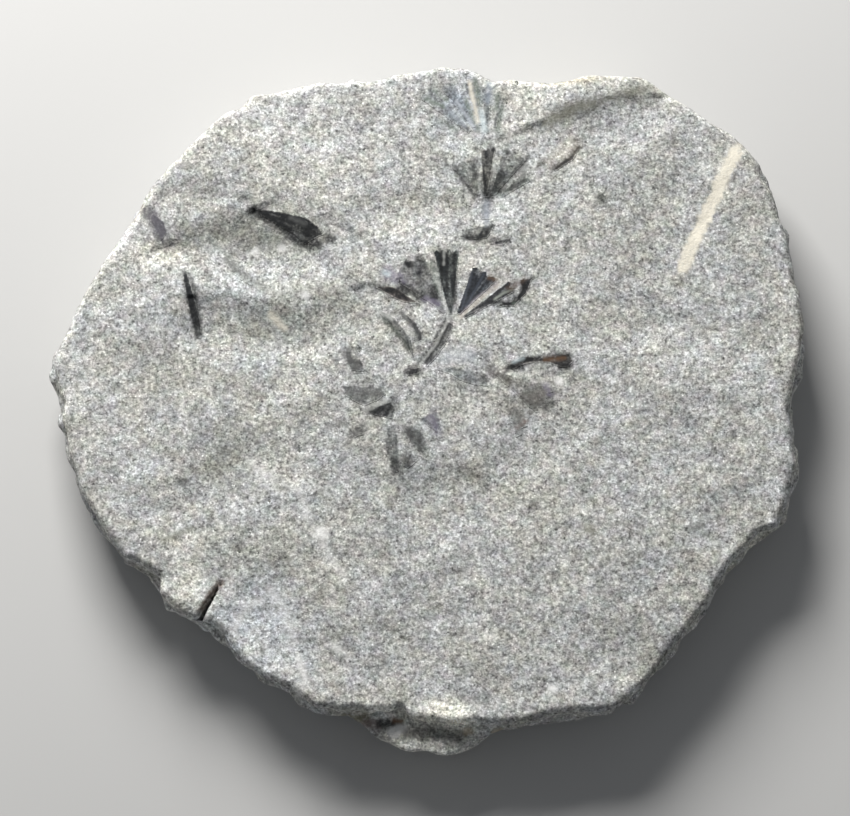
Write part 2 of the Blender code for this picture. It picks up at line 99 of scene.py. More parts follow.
# Unevenness of the side, the face and the base: height, wavelength and layer of each noise
SIDE_NOISES = ((0.16, (5.0, 5.0, 0.55), 0), (0.22, (2.2, 2.2, 1.3), 9), (0.15, 1.1, 31))
FACE_NOISES = ((0.36, 9.0, 2), (0.16, 4.0, 3), (0.08, 1.7, 5), (0.05, 0.8, 7))
BASE_NOISES = ((0.25, 6.0, 11), (0.08, 1.5, 13))

# Broad hollows of the top face: centre, half length, half breadth, turn in degrees, depth
HOLLOWS = (
    (-22.8, 20.8, 9.5, 4.8, 0, 1.4),
    (-21.5, 10.6, 11.0, 4.2, 0, 1.2),
    (-31.0, 29.0, 6.5, 3.0, 15, 0.5),
    (-34.5, 3.0, 8.0, 4.5, -10, 0.4),
    (-27.5, -7.5, 8.0, 5.0, 0, 0.5),
    (0.0, 27.5, 7.5, 3.0, 0, 0.45),
    (8.5, -9.5, 15.0, 4.5, 35, 0.5),
    (-3.5, -10.5, 8.0, 2.5, 0, 0.25),
    (29.0, -31.5, 8.0, 6.0, 50, 0.4),
    (31.5, 11.5, 7.0, 3.0, -10, 0.3),
    (-22.5, -30.5, 8.0, 6.5, -40, 0.9),
    (22.0, 37.5, 8.0, 3.0, 15, 0.5),
)

# Ledges of the top face, high on the left hand as one walks them: points, drop, reach
LEDGES = (
    (((-33.0, 23.4), (-30.0, 24.6), (-27.4, 25.6), (-25.2, 26.6)), 0.8, 3.5),
    (((-23.0, 28.9), (-18.0, 28.3), (-13.0, 25.6)), 0.5, 3.0),
    (((-30.5, 15.2), (-25.2, 14.7), (-17.2, 15.1), (-11.2, 16.3)), 0.6, 3.0),
    (((-11.2, 9.6), (-17.2, 6.8), (-22.5, 6.8), (-28.5, 7.9)), 0.5, 2.5),
    (((-12.9, 3.5), (-18.5, 2.5), (-22.3, -0.3)), 0.35, 2.5),
    (((-11.2, -22.8), (-15.6, -16.6), (-17.2, -11.2), (-23.9, -7.1)), 0.3, 2.5),
    (((15.5, 39.6), (19.5, 41.4), (23.0, 42.4), (29.0, 43.0)), 0.8, 3.0),
    (((-35.6, -18.2), (-31.2, -16.2)), 0.3, 2.0),
    (((23.0, 13.8), (15.2, 16.8)), 0.3, 2.5),
    (((-40.5, 8.6), (-35.0, 9.0), (-31.5, 7.0)), 0.3, 2.5),
    (((40.1, 11.3), (46.5, 11.9)), 0.3, 2.5),
)
LEDGE_HALF_WIDTH = 1.9

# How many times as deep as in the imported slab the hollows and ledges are
RELIEF = 1.25

# Crack at the lower left: mouth, inner end, width at the mouth and depth
CRACK_MOUTH = (-30.7, -28.9)
CRACK_END = (-27.4, -23.2)
CRACK_WIDTH = 0.65
CRACK_DEPTH = 3.0
# Its run past the mouth, in its lengths, its bank, in half widths, and its least half width
CRACK_OVERRUN = 0.5
CRACK_BANK = 1.3
CRACK_LEAST = 0.01

# Edge of a film: length of its steps, how ragged it is, and how far in the carbon grows full
EDGE_STEP = 0.2
EDGE_RAGGEDNESS = 0.1
EDGE_WAVELENGTH = 0.45
EDGE_SOFTNESS = 0.4

# Veins of a leaf, by their angle and length, and patches where its carbon is thick or thin
VEIN_ANGLE = 0.075
VEIN_LENGTH = 6.0
VEIN_DEPTH = 0.5
PATCH_DEPTH = 0.3
PATCH_WAVELENGTH = 1.3

# Faces of a film: angle of its sharp edges, and what counts as its upper face when it is read
FILM_SHARP = math.radians(50)
UPPER_NORMAL = 0.5
MERGE_DISTANCE = 1e-6

# Feet of the whorls, of the fan and of the scraps, where the veins of their leaves meet
MIDDLE_FOOT = (3.4, 12.0)
UPPER_FOOT = (8.0, 28.6)
TOP_FOOT = (7.3, 37.0)
FAN_FOOT = (8.2, 5.6)
LOWER_FOOT = (-2.2, 4.9)
INNER_FOOT = (-2.0, 5.5)
SCRAP_FOOT = (4.0, 20.0)

# Tints of the films
PLAIN = (1.0, 1.0, 1.0)
COOL = (0.95, 1.0, 1.05)

# Each film: where its veins come from, how dark it is, how soft its edge is, and its tint
FILMS = {
    "middle_leaf_centre": (MIDDLE_FOOT, 0.92, 0.3, (0.92, 1.0, 0.97)),
    "middle_leaf_left": (MIDDLE_FOOT, 0.58, 0.5, (1.0, 1.0, 1.02)),
    "middle_leaf_far_left": (MIDDLE_FOOT, 0.82, 0.4, (1.1, 0.97, 0.93)),
    "middle_leaf_right": (MIDDLE_FOOT, 0.99, 0.15, (0.92, 0.98, 1.08)),
    "middle_leaf_lower_right": (MIDDLE_FOOT, 0.97, 0.2, PLAIN),
    "middle_leaf_far_right": (MIDDLE_FOOT, 0.9, 0.25, (1.03, 1.0, 0.95)),
    "middle_stem": ((30.0, 60.0), 0.62, 0.3, PLAIN),
    "upper_leaf_left": (UPPER_FOOT, 0.42, 0.5, (0.95, 1.0, 0.95)),
    "upper_leaf_centre": (UPPER_FOOT, 0.75, 0.4, (1.03, 1.0, 0.95)),
    "upper_leaf_right": (UPPER_FOOT, 0.44, 0.3, (0.95, 1.0, 0.97)),
    "upper_leaf_far_right": (UPPER_FOOT, 0.5, 0.4, (0.97, 1.0, 0.97)),
    "upper_stem": ((8.0, 80.0), 0.35, 0.4, (0.92, 0.97, 1.08)),
    "top_leaf_far_left": (TOP_FOOT, 0.42, 0.5, COOL),
    "top_leaf_left": (TOP_FOOT, 0.42, 0.5, COOL),
    "top_leaf_centre": (TOP_FOOT, 0.45, 0.5, COOL),
    "top_leaf_right": (TOP_FOOT, 0.4, 0.5, COOL),
    "top_leaf_far_right": (TOP_FOOT, 0.42, 0.5, COOL),
    "fan_leaf_upper": (FAN_FOOT, 0.42, 0.6, (1.02, 1.0, 0.97)),
    "fan_leaf_lower": (FAN_FOOT, 0.34, 0.6, (1.03, 1.0, 0.98)),
    "lower_joint": (LOWER_FOOT, 0.85, 0.25, PLAIN),
    "lower_leaf_upper_left": (INNER_FOOT, 0.72, 0.35, (0.97, 1.0, 0.98)),
    "lower_leaf_upper": (INNER_FOOT, 0.72, 0.3, (1.03, 0.98, 1.0)),
    "lower_leaf_outer_left": (LOWER_FOOT, 0.62, 0.3, PLAIN),
    "lower_leaf_left_upper": (LOWER_FOOT, 0.5, 0.4, (0.98, 1.0, 1.02)),
    "lower_leaf_left": (LOWER_FOOT, 0.74, 0.2, PLAIN),
    "lower_leaf_far_left": (LOWER_FOOT, 0.32, 0.3, (1.02, 1.0, 0.98)),
    "lower_leaf_bottom_left": (LOWER_FOOT, 0.4, 0.3, (0.97, 1.0, 1.0)),
    "lower_leaf_bottom": (LOWER_FOOT, 0.4, 0.35, (1.0, 1.0, 1.02)),
    "lower_leaf_bottom_right": (LOWER_FOOT, 0.44, 0.35, (0.97, 1.0, 1.0)),
    "lower_leaf_right_lower": (LOWER_FOOT, 0.55, 0.35, (0.95, 0.98, 1.05)),
    "lower_leaf_right": (LOWER_FOOT, 0.36, 0.5, (0.93, 1.0, 1.05)),
    "right_leaf": ((9.0, 5.6), 0.8, 0.35, (1.08, 1.0, 0.93)),
    "right_sliver": ((12.0, 30.0), 0.8, 0.2, (1.05, 0.97, 0.97)),
    "left_stem": ((-25.0, -20.0), 0.85, 0.3, PLAIN),
    "crescent_scrap": (SCRAP_FOOT, 0.65, 0.3, (0.98, 1.0, 0.98)),
    "small_scrap": (SCRAP_FOOT, 0.8, 0.25, (1.0, 0.97, 1.02)),
    "black_leaf": ((-26.0, 28.2), 0.93, 0.3, (1.0, 1.0, 0.98)),
    "far_left_leaf": ((-38.2, 27.4), 0.65, 0.4, (0.97, 0.95, 1.06)),
    "small_left_leaf": ((-29.0, 21.6), 0.3, 0.5, PLAIN),
}

# View of the stains, painted shade and light, and marks: width, pixel of the tables' zero, and
# pixels to the millimetre
VIEW_WIDTH = 850
VIEW_ZERO = (429.0, 408.0)
VIEW_SCALE = (7.5, 7.335)

# Colours of the marks
INK = (0.010, 0.011, 0.012)
BROWN = (0.10, 0.065, 0.045)
RUST = (0.22, 0.12, 0.06)
PURPLE = (0.22, 0.20, 0.27)
BLUE = (0.44, 0.47, 0.52)
CYAN = (0.45, 0.53, 0.56)
CREAM = (0.74, 0.70, 0.60)
WHITE = (0.86, 0.86, 0.85)
TAN = (0.46, 0.39, 0.28)
GREEN = (0.13, 0.16, 0.135)
GREY = (0.17, 0.175, 0.17)
OLIVE = (0.21, 0.21, 0.17)
PALE = (0.48, 0.49, 0.47)

# The coarser faces of the slab need marks this much wider on each side, in pixels
SLAB_WIDENING = 0.8

# How far the edge of a mark strays, in its widths, and the wavelength of that in millimetres
MARK_WOBBLE = 0.3
MARK_WAVELENGTH = 0.5

# Soft stains and painted shade and light: middle, half length and half breadth in pixels of the
# view, turn, tint
STAINS_AND_SHADING = {
    # Entries named shade or light are painted shade and light on the slopes of hollows, ridges and
    # ledges
    "upper_hollow_shade": (262, 236, 56, 20, 4, (0.72, 0.73, 0.69)),
    "upper_hollow_light": (258, 284, 52, 14, -3, (1.12, 1.15, 1.17)),
    "lower_hollow_shade": (268, 322, 70, 24, 0, (0.68, 0.69, 0.66)),
    "lower_hollow_light": (262, 364, 55, 10, -4, (0.90, 0.92, 0.93)),
    # Painted light on a cream slope that faces the light
    "left_band_light": (145, 256, 42, 16, 4, (1.5, 1.47, 1.38)),
    "crest_shade": (203, 193, 34, 9, -14, (0.86, 0.86, 0.83)),
    # Painted shade on the slope below a ledge
    "left_shade": (160, 370, 36, 18, -8, (0.86, 0.86, 0.83)),
    # Darkens the face over a hollow at the lower left
    "lower_left_dark": (224, 456, 46, 19, -34, (0.66, 0.67, 0.63)),
    "dark_pit_shade": (243, 478, 16, 10, 0, (0.84, 0.84, 0.82)),
    "middle_shade": (338, 300, 22, 14, 0, (0.82, 0.83, 0.81)),
    # Painted shade on a slope between the whorls that faces away from the light
    "between_whorls_shade": (420, 196, 34, 9, -3, (0.80, 0.80, 0.76)),
    # Bluish colour and painted light on a chipped facet that slopes towards the light
    "blue_corner_light": (258, 622, 48, 30, 34, (1.32, 1.37, 1.46)),
    "blue_patch": (130, 474, 18, 12, 0, (1.14, 1.18, 1.24)),
    "white_lobe": (188, 590, 24, 28, 20, (1.5, 1.48, 1.42)),
    "lobe_top": (188, 542, 24, 11, -12, (1.42, 1.41, 1.36)),
    "front_white": (450, 708, 26, 12, 8, (2.1, 2.08, 2.02)),
    "front_rim": (395, 708, 66, 8, -2, (1.5, 1.48, 1.42)),
    "tongue": (430, 738, 50, 16, 0, (1.9, 1.88, 1.78)),
    # Painted shade in a hollow below a whorl
    "under_whorl_shade": (395, 488, 60, 15, -4, (0.82, 0.83, 0.81)),
    "slant_shade": (500, 488, 80, 12, 27, (0.84, 0.84, 0.82)),
    "right_shade": (664, 318, 30, 8, -6, (0.86, 0.86, 0.84)),
    "far_right_shade": (754, 340, 24, 10, -20, (0.84, 0.84, 0.82)),
    "far_right_light": (765, 395, 22, 44, 0, (1.10, 1.11, 1.11)),
    "lower_right_shade": (640, 640, 48, 20, 40, (0.84, 0.84, 0.82)),
    "edge_light_right": (735, 548, 36, 14, -24, (1.14, 1.13, 1.08)),
    "right_of_stem_light": (545, 335, 46, 16, -4, (1.2, 1.21, 1.2)),
    "ridge_shade": (575, 112, 26, 8, -12, (0.62, 0.62, 0.60)),
    "ridge_light": (595, 90, 46, 9, -6, (1.18, 1.19, 1.21)),
    "ridge_ochre": (572, 78, 30, 4, -4, (1.10, 1.02, 0.88)),
    "rim_shade_right": (640, 92, 24, 7, -10, (0.68, 0.68, 0.66)),
    "top_white": (525, 90, 26, 12, 0, (1.18, 1.18, 1.16)),
    "top_whorl_blue": (462, 108, 32, 28, 0, (0.84, 0.90, 0.98)),
    "top_light": (462, 145, 22, 10, 0, (1.10, 1.12, 1.13)),
    "upper_left_light": (300, 150, 110, 50, 0, (1.05, 1.05, 1.05)),
    "bright_upper": (255, 130, 20, 9, 0, (1.18, 1.17, 1.14)),
    "ledge_light": (262, 400, 36, 11, -8, (1.2, 1.2, 1.19)),
    "diagonal_light": (292, 486, 44, 7, -44, (1.16, 1.17, 1.17)),
    "lower_middle_dark": (540, 632, 14, 6, 0, (0.84, 0.84, 0.82)),
    "upper_right_dull": (655, 190, 70, 60, 0, (0.87, 0.88, 0.88)),
    "bottom_grey": (412, 438, 26, 28, 0, (0.84, 0.86, 0.86)),
    "fan_grey": (526, 396, 27, 24, 0, (0.86, 0.85, 0.84)),
    "wedge_grey": (366, 396, 26, 14, 0, (0.86, 0.87, 0.87)),
    "upper_grey": (494, 172, 34, 20, 0, (0.87, 0.88, 0.87)),
    "lower_left_dull": (262, 545, 54, 30, -20, (0.85, 0.86, 0.84)),
}

# Marks: points in pixels of the view, width, softness of the edge, colour and strength; some are
# painted shade and highlights at ledges, the ridge, the rim, the crack and the tongue
MARKS = {
    "pale_streak": (((738, 150), (727, 172), (712, 205), (697, 238), (684, 266)), 11, 3, CREAM, 1.0),
    "pale_streak_tip": (((743, 139), (730, 166)), 4, 3, CREAM, 0.7),
    "right_pit": (((602, 196), (604, 199)), 7, 3, INK, 0.8),
    "crack_shade": (((203, 606), (212, 592), (222, 581)), 5, 4, BROWN, 0.85),
    # Painted shade along a small ledge
    "ledge_shade_line": (((165, 540), (180, 533), (195, 527)), 3, 4, OLIVE, 0.6),
    "dark_spot": (((181, 481), (186, 482)), 8, 5, INK, 0.75),
    "cream_mark": (((270, 312), (283, 325)), 5, 4, CREAM, 0.7),
    # Painted shade below the ridge and along the rim at the upper right
    "ridge_shade_line": (((548, 120), (560, 113), (575, 105), (595, 100)), 9, 7, OLIVE, 0.75),
    "rim_shade_line": (((606, 97), (630, 90), (650, 84)), 6, 6, OLIVE, 0.6),
    "white_edge_dot": (((322, 530), (323, 534)), 8, 4, WHITE, 0.8),
    "white_dot_one": (((253, 247), (255, 247)), 6, 3, WHITE, 0.7),
    "white_dot_two": (((280, 245), (282, 245)), 5, 3, WHITE, 0.7),
    "white_dot_three": (((304, 294), (306, 294)), 5, 3, WHITE, 0.7),
    "white_dot_four": (((551, 686), (553, 686)), 6, 3, WHITE, 0.8),
    "white_dot_five": (((559, 381), (561, 381)), 5, 3, WHITE, 0.7),
    "white_dot_six": (((336, 645), (338, 647)), 6, 4, WHITE, 0.6),
    # Painted highlight on the face of a ledge that faces the light
    "ledge_highlight": (((250, 462), (275, 480), (300, 492), (310, 520), (326, 548), (343, 573)),
                     4, 6, WHITE, 0.4),
    "blue_vein_one": (((272, 590), (286, 610), (292, 636)), 8, 9, WHITE, 0.45),
    "blue_vein_two": (((236, 625), (246, 606), (262, 598)), 5, 5, WHITE, 0.55),
    "blue_vein_three": (((300, 655), (306, 676), (300, 690)), 5, 5, WHITE, 0.5),
    "dark_mark_right": (((588, 529), (592, 531)), 6, 4, OLIVE, 0.8),
    "dark_mark_left": (((541, 404), (552, 412)), 4, 4, GREY, 0.5),
    "dark_mark_far": (((690, 527), (702, 525)), 5, 4, GREY, 0.6),
    "tongue_brown": (((345, 711), (366, 713)), 9, 4, (0.16, 0.15, 0.09), 0.8),
    "tongue_block": (((366, 717), (378, 718)), 9, 3, (0.20, 0.15, 0.15), 0.7),
    # Painted shade in the crevice under the top layer
    "tongue_crevice_shade": (((381, 717), (399, 719)), 7, 3, INK, 0.9),
    "tongue_rust": (((394, 714), (402, 715)), 3, 3, RUST, 0.7),
    "tongue_cream": (((393, 726), (402, 722)), 9, 3, WHITE, 0.85),
    # Painted shade on the lower bed under the top layer
    "tongue_shade": (((408, 727), (436, 726), (460, 730)), 11, 6, (0.06, 0.06, 0.06), 0.75),
    "tongue_tan_one": (((465, 725), (469, 725)), 5, 3, TAN, 0.8),
    "tongue_tan_two": (((494, 725), (501, 725)), 5, 3, TAN, 0.7),
    "centre_column_one": (((441, 250), (442, 285)), 4, 3, INK, 0.9),
    "centre_column_two": (((447, 250), (447, 290)), 3, 3, INK, 0.85),
    "centre_column_three": (((455, 253), (454, 300)), 4, 3, INK, 0.9),
    "centre_gap": (((444, 250), (444, 264)), 2, 2, PALE, 0.6),
    "centre_green": (((432, 262), (438, 290)), 5, 5, GREEN, 0.7),
    "centre_vein": (((437, 280), (443, 298), (449, 314)), 2, 2, PALE, 0.55),
    "left_spot_one": (((407, 262), (409, 265)), 6, 3, INK, 0.85),
    "left_spot_two": (((419, 257), (421, 260)), 6, 3, INK, 0.8),
    "left_purple": (((388, 272), (400, 280)), 12, 7, PURPLE, 0.6),
    "left_cyan": (((385, 272), (388, 274)), 4, 3, CYAN, 0.8),
    "left_black": (((432, 288), (436, 297)), 8, 4, INK, 0.9),
    "left_lower_edge": (((400, 284), (412, 292), (424, 299)), 6, 4, INK, 0.9),
    "left_lower_purple": (((425, 298), (438, 303)), 5, 4, PURPLE, 0.6),
    "far_left_dark": (((376, 286), (390, 290), (404, 293)), 5, 4, INK, 0.85),
    "wedge_sheen_one": (((472, 272), (462, 308)), 2, 2, (0.07, 0.08, 0.10), 0.8),
    "wedge_sheen_two": (((484, 274), (466, 306)), 2, 2, (0.06, 0.07, 0.09), 0.8),
    "wedge_brown": (((490, 277), (497, 279)), 5, 4, BROWN, 0.8),
    "wedge_line": (((462, 313), (478, 296), (496, 284)), 2, 2, (0.30, 0.27, 0.30), 0.6),
    "gap_tan": (((461, 316), (480, 298), (500, 284)), 2.5, 2, (0.42, 0.38, 0.33), 0.6),
    "lower_right_stripe": (((495, 299), (504, 293), (513, 289)), 2, 2, (0.34, 0.37, 0.33), 0.75),
    "lower_right_brown": (((511, 288), (523, 279)), 7, 5, BROWN, 0.6),
    "far_right_line": (((488, 302), (511, 303), (519, 296), (525, 287)), 3, 2, INK, 0.9),
    "far_right_spike": (((522, 287), (533, 277)), 3, 3, INK, 0.8),
    "far_right_green": (((513, 303), (531, 302)), 2, 3, GREEN, 0.6),
    "streak_over_leaf": (((380, 312), (392, 318)), 4, 3, PALE, 0.7),
    "whitish_line": (((366, 410), (376, 405), (387, 401)), 3, 2, PALE, 0.75),
    "left_dark_line": (((324, 429), (345, 423)), 3, 3, GREY, 0.75),
    "stem_left_line": (((446, 318), (434, 342), (419, 362)), 2, 2, INK, 0.9),
    "stem_right_line": (((452, 318), (440, 343), (425, 363)), 2, 2, INK, 0.75),
    "stem_pale": (((449, 319), (437, 343), (422, 362)), 1.5, 2, PALE, 0.6),
    "node_spot": (((408, 371), (419, 372)), 8, 4, INK, 0.85),
    "bluish_patch": (((446, 357), (470, 355)), 12, 9, BLUE, 0.45),
    "blue_leaf_spot": (((483, 377), (486, 379)), 5, 3, INK, 0.75),
    "blue_leaf_line": (((472, 386), (480, 391), (488, 394)), 2, 3, GREY, 0.6),
    "bottom_tip": (((394, 460), (396, 470)), 8, 4, INK, 0.75),
    "bottom_edge": (((389, 430), (391, 450), (394, 468)), 2, 3, INK, 0.5),
    "bottom_spot": (((406, 459), (409, 465)), 7, 4, INK, 0.7),
    "bottom_purple": (((431, 417), (438, 430)), 9, 6, PURPLE, 0.45),
    "fan_dark": (((530, 400), (549, 390)), 16, 10, (0.10, 0.095, 0.085), 0.6),
    "fan_dot_one": (((549, 395), (551, 396)), 4, 2, INK, 0.7),
    "fan_dot_two": (((550, 404), (552, 404)), 4, 2, INK, 0.7),
    "fan_dot_three": (((545, 409), (547, 410)), 4, 2, INK, 0.7),
    "fan_purple": (((546, 385), (550, 393)), 6, 4, PURPLE, 0.5),
    "fan_apex": (((489, 368), (498, 374), (508, 381)), 7, 4, (0.06, 0.055, 0.05), 0.75),
    "fan_red": (((518, 427), (525, 421)), 4, 4, (0.2, 0.13, 0.11), 0.6),
    "fan_stalk": (((518, 410), (520, 428), (522, 436)), 7, 5, GREY, 0.6),
    "right_leaf_edge": (((508, 368), (524, 360), (546, 358), (568, 355)), 5, 3, INK, 0.9),
    "right_leaf_rust": (((545, 360), (565, 358)), 4, 3, RUST, 0.4),
    "right_leaf_inner": (((530, 366), (546, 364)), 4, 3, (0.28, 0.28, 0.28), 0.5),
    "right_leaf_spot_one": (((510, 366), (513, 367)), 5, 3, INK, 0.9),
    "right_leaf_spot_two": (((519, 366), (522, 367)), 5, 3, INK, 0.9),
    "right_leaf_end": (((560, 367), (570, 366)), 5, 3, INK, 0.9),
    "right_leaf_light": (((514, 362), (523, 358)), 3, 3, CYAN, 0.6),
    "second_left_edge": (((456, 169), (466, 182), (476, 194)), 3, 3, INK, 0.8),
    "second_left_spot": (((474, 160), (475, 175)), 6, 4, INK, 0.7),
    "second_centre_base": (((485, 174), (487, 196)), 7, 4, INK, 0.9),
    "second_right_base": (((503, 172), (491, 194)), 9, 4, INK, 0.85),
    "second_right_edge": (((500, 188), (514, 172), (530, 153)), 3, 3, INK, 0.8),
    "second_spot_one": (((507, 149), (509, 151)), 4, 3, INK, 0.7),
    "second_spot_two": (((492, 146), (494, 148)), 4, 3, INK, 0.7),
    "second_lower_line": (((500, 191), (513, 185), (527, 178)), 3, 3, INK, 0.75),
    "second_far_patch": (((523, 174), (527, 166)), 6, 4, GREY, 0.8),
    "second_stem": (((487, 203), (487, 222)), 7, 5, (0.28, 0.31, 0.36), 0.55),
    "crescent_edge": (((465, 236), (480, 238), (492, 226)), 5, 3, INK, 0.85),
    "small_scrap_ink": (((490, 240), (509, 241)), 4, 3, INK, 0.7),
    "sliver_line": (((555, 167), (568, 158), (580, 144)), 4, 3, INK, 0.85),
    "sliver_tan": (((548, 160), (574, 143)), 12, 12, TAN, 0.16),
    "top_stripe_one": (((426, 96), (444, 104)), 3, 3, GREEN, 0.8),
    "top_stripe_two": (((434, 88), (447, 98)), 3, 3, GREEN, 0.7),
    "top_stripe_three": (((466, 96), (472, 112), (478, 128)), 3, 3, GREEN, 0.75),
    "top_stripe_four": (((475, 78), (480, 100)), 5, 4, GREEN, 0.75),
    "top_stripe_five": (((498, 92), (497, 106)), 4, 3, GREEN, 0.75),
    "top_stripe_six": (((503, 103), (498, 126)), 3, 3, GREEN, 0.7),
    "top_stripe_seven": (((440, 116), (456, 128)), 3, 4, GREEN, 0.5),
    "top_pale_one": (((457, 98), (466, 112), (475, 126)), 3, 3, BLUE, 0.75),
    "top_pale_two": (((448, 106), (466, 124)), 2, 3, BLUE, 0.6),
    "top_cream": (((470, 80), (474, 98), (479, 118)), 4, 3, CREAM, 0.8),
    "top_cyan": (((482, 110), (485, 128)), 5, 4, CYAN, 0.7),
    "top_blue": (((490, 82), (489, 98)), 7, 5, (0.30, 0.34, 0.40), 0.6),
    "black_leaf_edge": (((252, 208), (275, 220), (300, 240), (318, 242)), 8, 4, INK, 0.95),
    "black_leaf_fill": (((285, 216), (312, 232)), 10, 5, INK, 0.85),
    "black_leaf_grey": (((290, 216), (304, 222)), 4, 4, GREY, 0.35),
    "black_leaf_nib": (((306, 242), (310, 245)), 5, 3, INK, 0.9),
    "black_leaf_dot": (((327, 237), (333, 238)), 7, 3, INK, 0.85),
    "far_left_ink": (((146, 212), (156, 224), (162, 236)), 12, 5, (0.09, 0.085, 0.10), 0.8),
    "left_stem_left": (((184, 272), (188, 298), (196, 335)), 4, 3, INK, 0.85),
    "left_stem_right": (((189, 274), (196, 300), (200, 332)), 3, 3, INK, 0.8),
    "left_stem_black": (((191, 297), (196, 323)), 6, 4, INK, 0.9),
    "small_leaf_line": (((242, 270), (254, 279), (266, 288)), 3, 3, GREY, 0.7),
    "small_leaf_dark": (((226, 258), (234, 264)), 7, 5, GREY, 0.7),
    "outer_left_ink": (((346, 352), (352, 362), (358, 368)), 10, 6, (0.09, 0.09, 0.09), 0.7),
    "leaf_pair_one": (((384, 318), (398, 334), (408, 348)), 4, 3, (0.05, 0.06, 0.05), 0.75),
    "leaf_pair_two": (((402, 312), (414, 326), (420, 338)), 4, 3, (0.05, 0.055, 0.055), 0.75),
    "left_wedge_ink": (((372, 412), (388, 408), (393, 402)), 9, 5, INK, 0.75),
    "far_left_wedge": (((350, 392), (378, 392)), 9, 7, (0.13, 0.13, 0.13), 0.6),
    "lower_pad": (((352, 434), (362, 428)), 8, 5, (0.07, 0.07, 0.07), 0.7),
    "bottom_mid_ink": (((408, 432), (418, 440), (420, 446)), 9, 6, (0.06, 0.06, 0.06), 0.7),
}

# Pale worn rim with a painted highlight: width, colour, the way to the light, and how its strength
# follows that way
RIM_PALE_WIDTH = 1.1
RIM_PALE_AND_HIGHLIGHT = (0.34, 0.32, 0.27)
RIM_LIT = (-0.55, 0.83)
RIM_SHARE = 0.35
RIM_GAIN = 0.65
RIM_LEAST = 0.12

# Noises of the stone: wavelength in millimetres, detail and roughness
STONE_NOISES = {
    "broad": (16.0, 4.0, 0.6),
    "mottle": (2.6, 3.0, 0.6),
    "worms": (0.62, 3.0, 0.7),
    "fine": (0.3, 2.0, 0.6),
    "blotches": (4.5, 3.0, 0.6),
}
HUE_NOISE = (1.4, 2.0)
HUE_SHARE = 0.08

# Tones of the stone: the range of each noise and of the grains, and the brightness at its ends
STONE_TONES = {
    "broad": (0.3, 0.7, 0.93, 1.07),
    "mottle": (0.3, 0.7, 0.78, 1.22),
    "cell": (0.0, 1.0, 0.82, 1.18),
    "worms": (0.3, 0.7, 0.38, 1.62),
    "fine": (0.3, 0.7, 0.56, 1.44),
}
LEAST_TONE = 0.18

# What each noise adds to the relief of the stone
STONE_HEIGHTS = {"fine": 0.4, "worms": 0.8, "mottle": 0.8}

# White and black grains: the values that make a grain one, its edge, and what it adds
WHITE_GRAINS = (0.955, 0.965)
WHITE_GRAIN_EDGE = (0.5, 0.3)
WHITE_GRAIN_TONE = 0.9
BLACK_GRAINS = (0.95, 0.97)
BLACK_GRAIN_TONE = -0.3

# Blue and olive blotches of the stone
BLUE_CAST = (0.975, 1.0, 1.035, 1.0)
OLIVE_CAST = (1.01, 1.01, 0.965, 1.0)
CAST_RANGE = (0.38, 0.62)

# Roughness of the plain stone and of its white grains, and its bump: strength and depth
STONE_ROUGHNESS = (0.92, 0.5)
STONE_RELIEF = (0.8, 0.14)

# How the grain of the stone breaks up a mark
MARK_NOISE = (0.35, 2.0, 0.6)
MARK_KEPT = (0.3, 0.55, 0.72, 1.0)

# Carbon: its worn patches, its bright specks, its finish and its bump
WORN_NOISE = (0.7, 3.0, 0.65)
WORN_RANGE = (0.3, 0.7, 0.85, 1.3)
SPECK_NOISE = (0.3, 1.0)
SPECK_RANGE = (0.35, 0.75)
SPECK_GAIN = 2.5
FILM_ROUGHNESS = 0.92
FILM_SHEEN = 0.2
FILM_SPECULAR = 0.25
FILM_RELIEF = (0.5, 0.1)

# Floor, sky and key light, in metres
FLOOR_SIZE = 3.0
FLOOR_LEVEL = -0.0001
FLOOR_ROUGHNESS = 0.8
SKY_COLOUR = (0.93, 0.96, 1.0, 1.0)
KEY_PLACE = (-0.12, 0.34, 0.26)
KEY_SIZE = 0.22
KEY_COLOUR = (1.0, 0.985, 0.96)

# Camera: what it looks at, in millimetres from the middle of the base, its sensor and its reach
CAMERA_TARGET = (-0.374, -0.605, FACE_HEIGHT)
SENSOR_WIDTH = 36.0
CLIP_END = 10.0


class FossilStone(bpy.types.PropertyGroup):
    """Sizes and colour of the stone"""
    voxel: bpy.props.FloatProperty(
        name="Voxel", description="Size of the faces of the stone",
        default=0.36 * MM, min=0.1 * MM, unit='LENGTH', precision=5)
    colour: bpy.props.FloatVectorProperty(
        name="Colour", description="Colour of the bare stone",
        subtype='COLOR', size=3, default=(0.405, 0.405, 0.395), min=0.0, max=1.0)
    grain: bpy.props.FloatProperty(
        name="Grain", description="Size of the sand grains",
        default=0.27 * MM, min=0.05 * MM, unit='LENGTH', precision=5)


class FossilFilm(bpy.types.PropertyGroup):
    """Sizes and colour of the carbon films"""
    cell: bpy.props.FloatProperty(
        name="Cell", description="Size of the faces of the carbon films",
        default=0.14 * MM, min=0.05 * MM, unit='LENGTH', precision=5)
    thickness: bpy.props.FloatProperty(
        name="Thickness", description="Thickness of the carbon films",
        default=0.14 * MM, min=0.01 * MM, unit='LENGTH', precision=5)
    lift: bpy.props.FloatProperty(
        name="Lift", description="Height of the films' upper face over the stone",
        default=0.06 * MM, min=0.0, unit='LENGTH', precision=5)
    colour: bpy.props.FloatVectorProperty(
        name="Colour", description="Colour of the carbon",
        subtype='COLOR', size=3, default=(0.014, 0.015, 0.017), min=0.0, max=1.0)


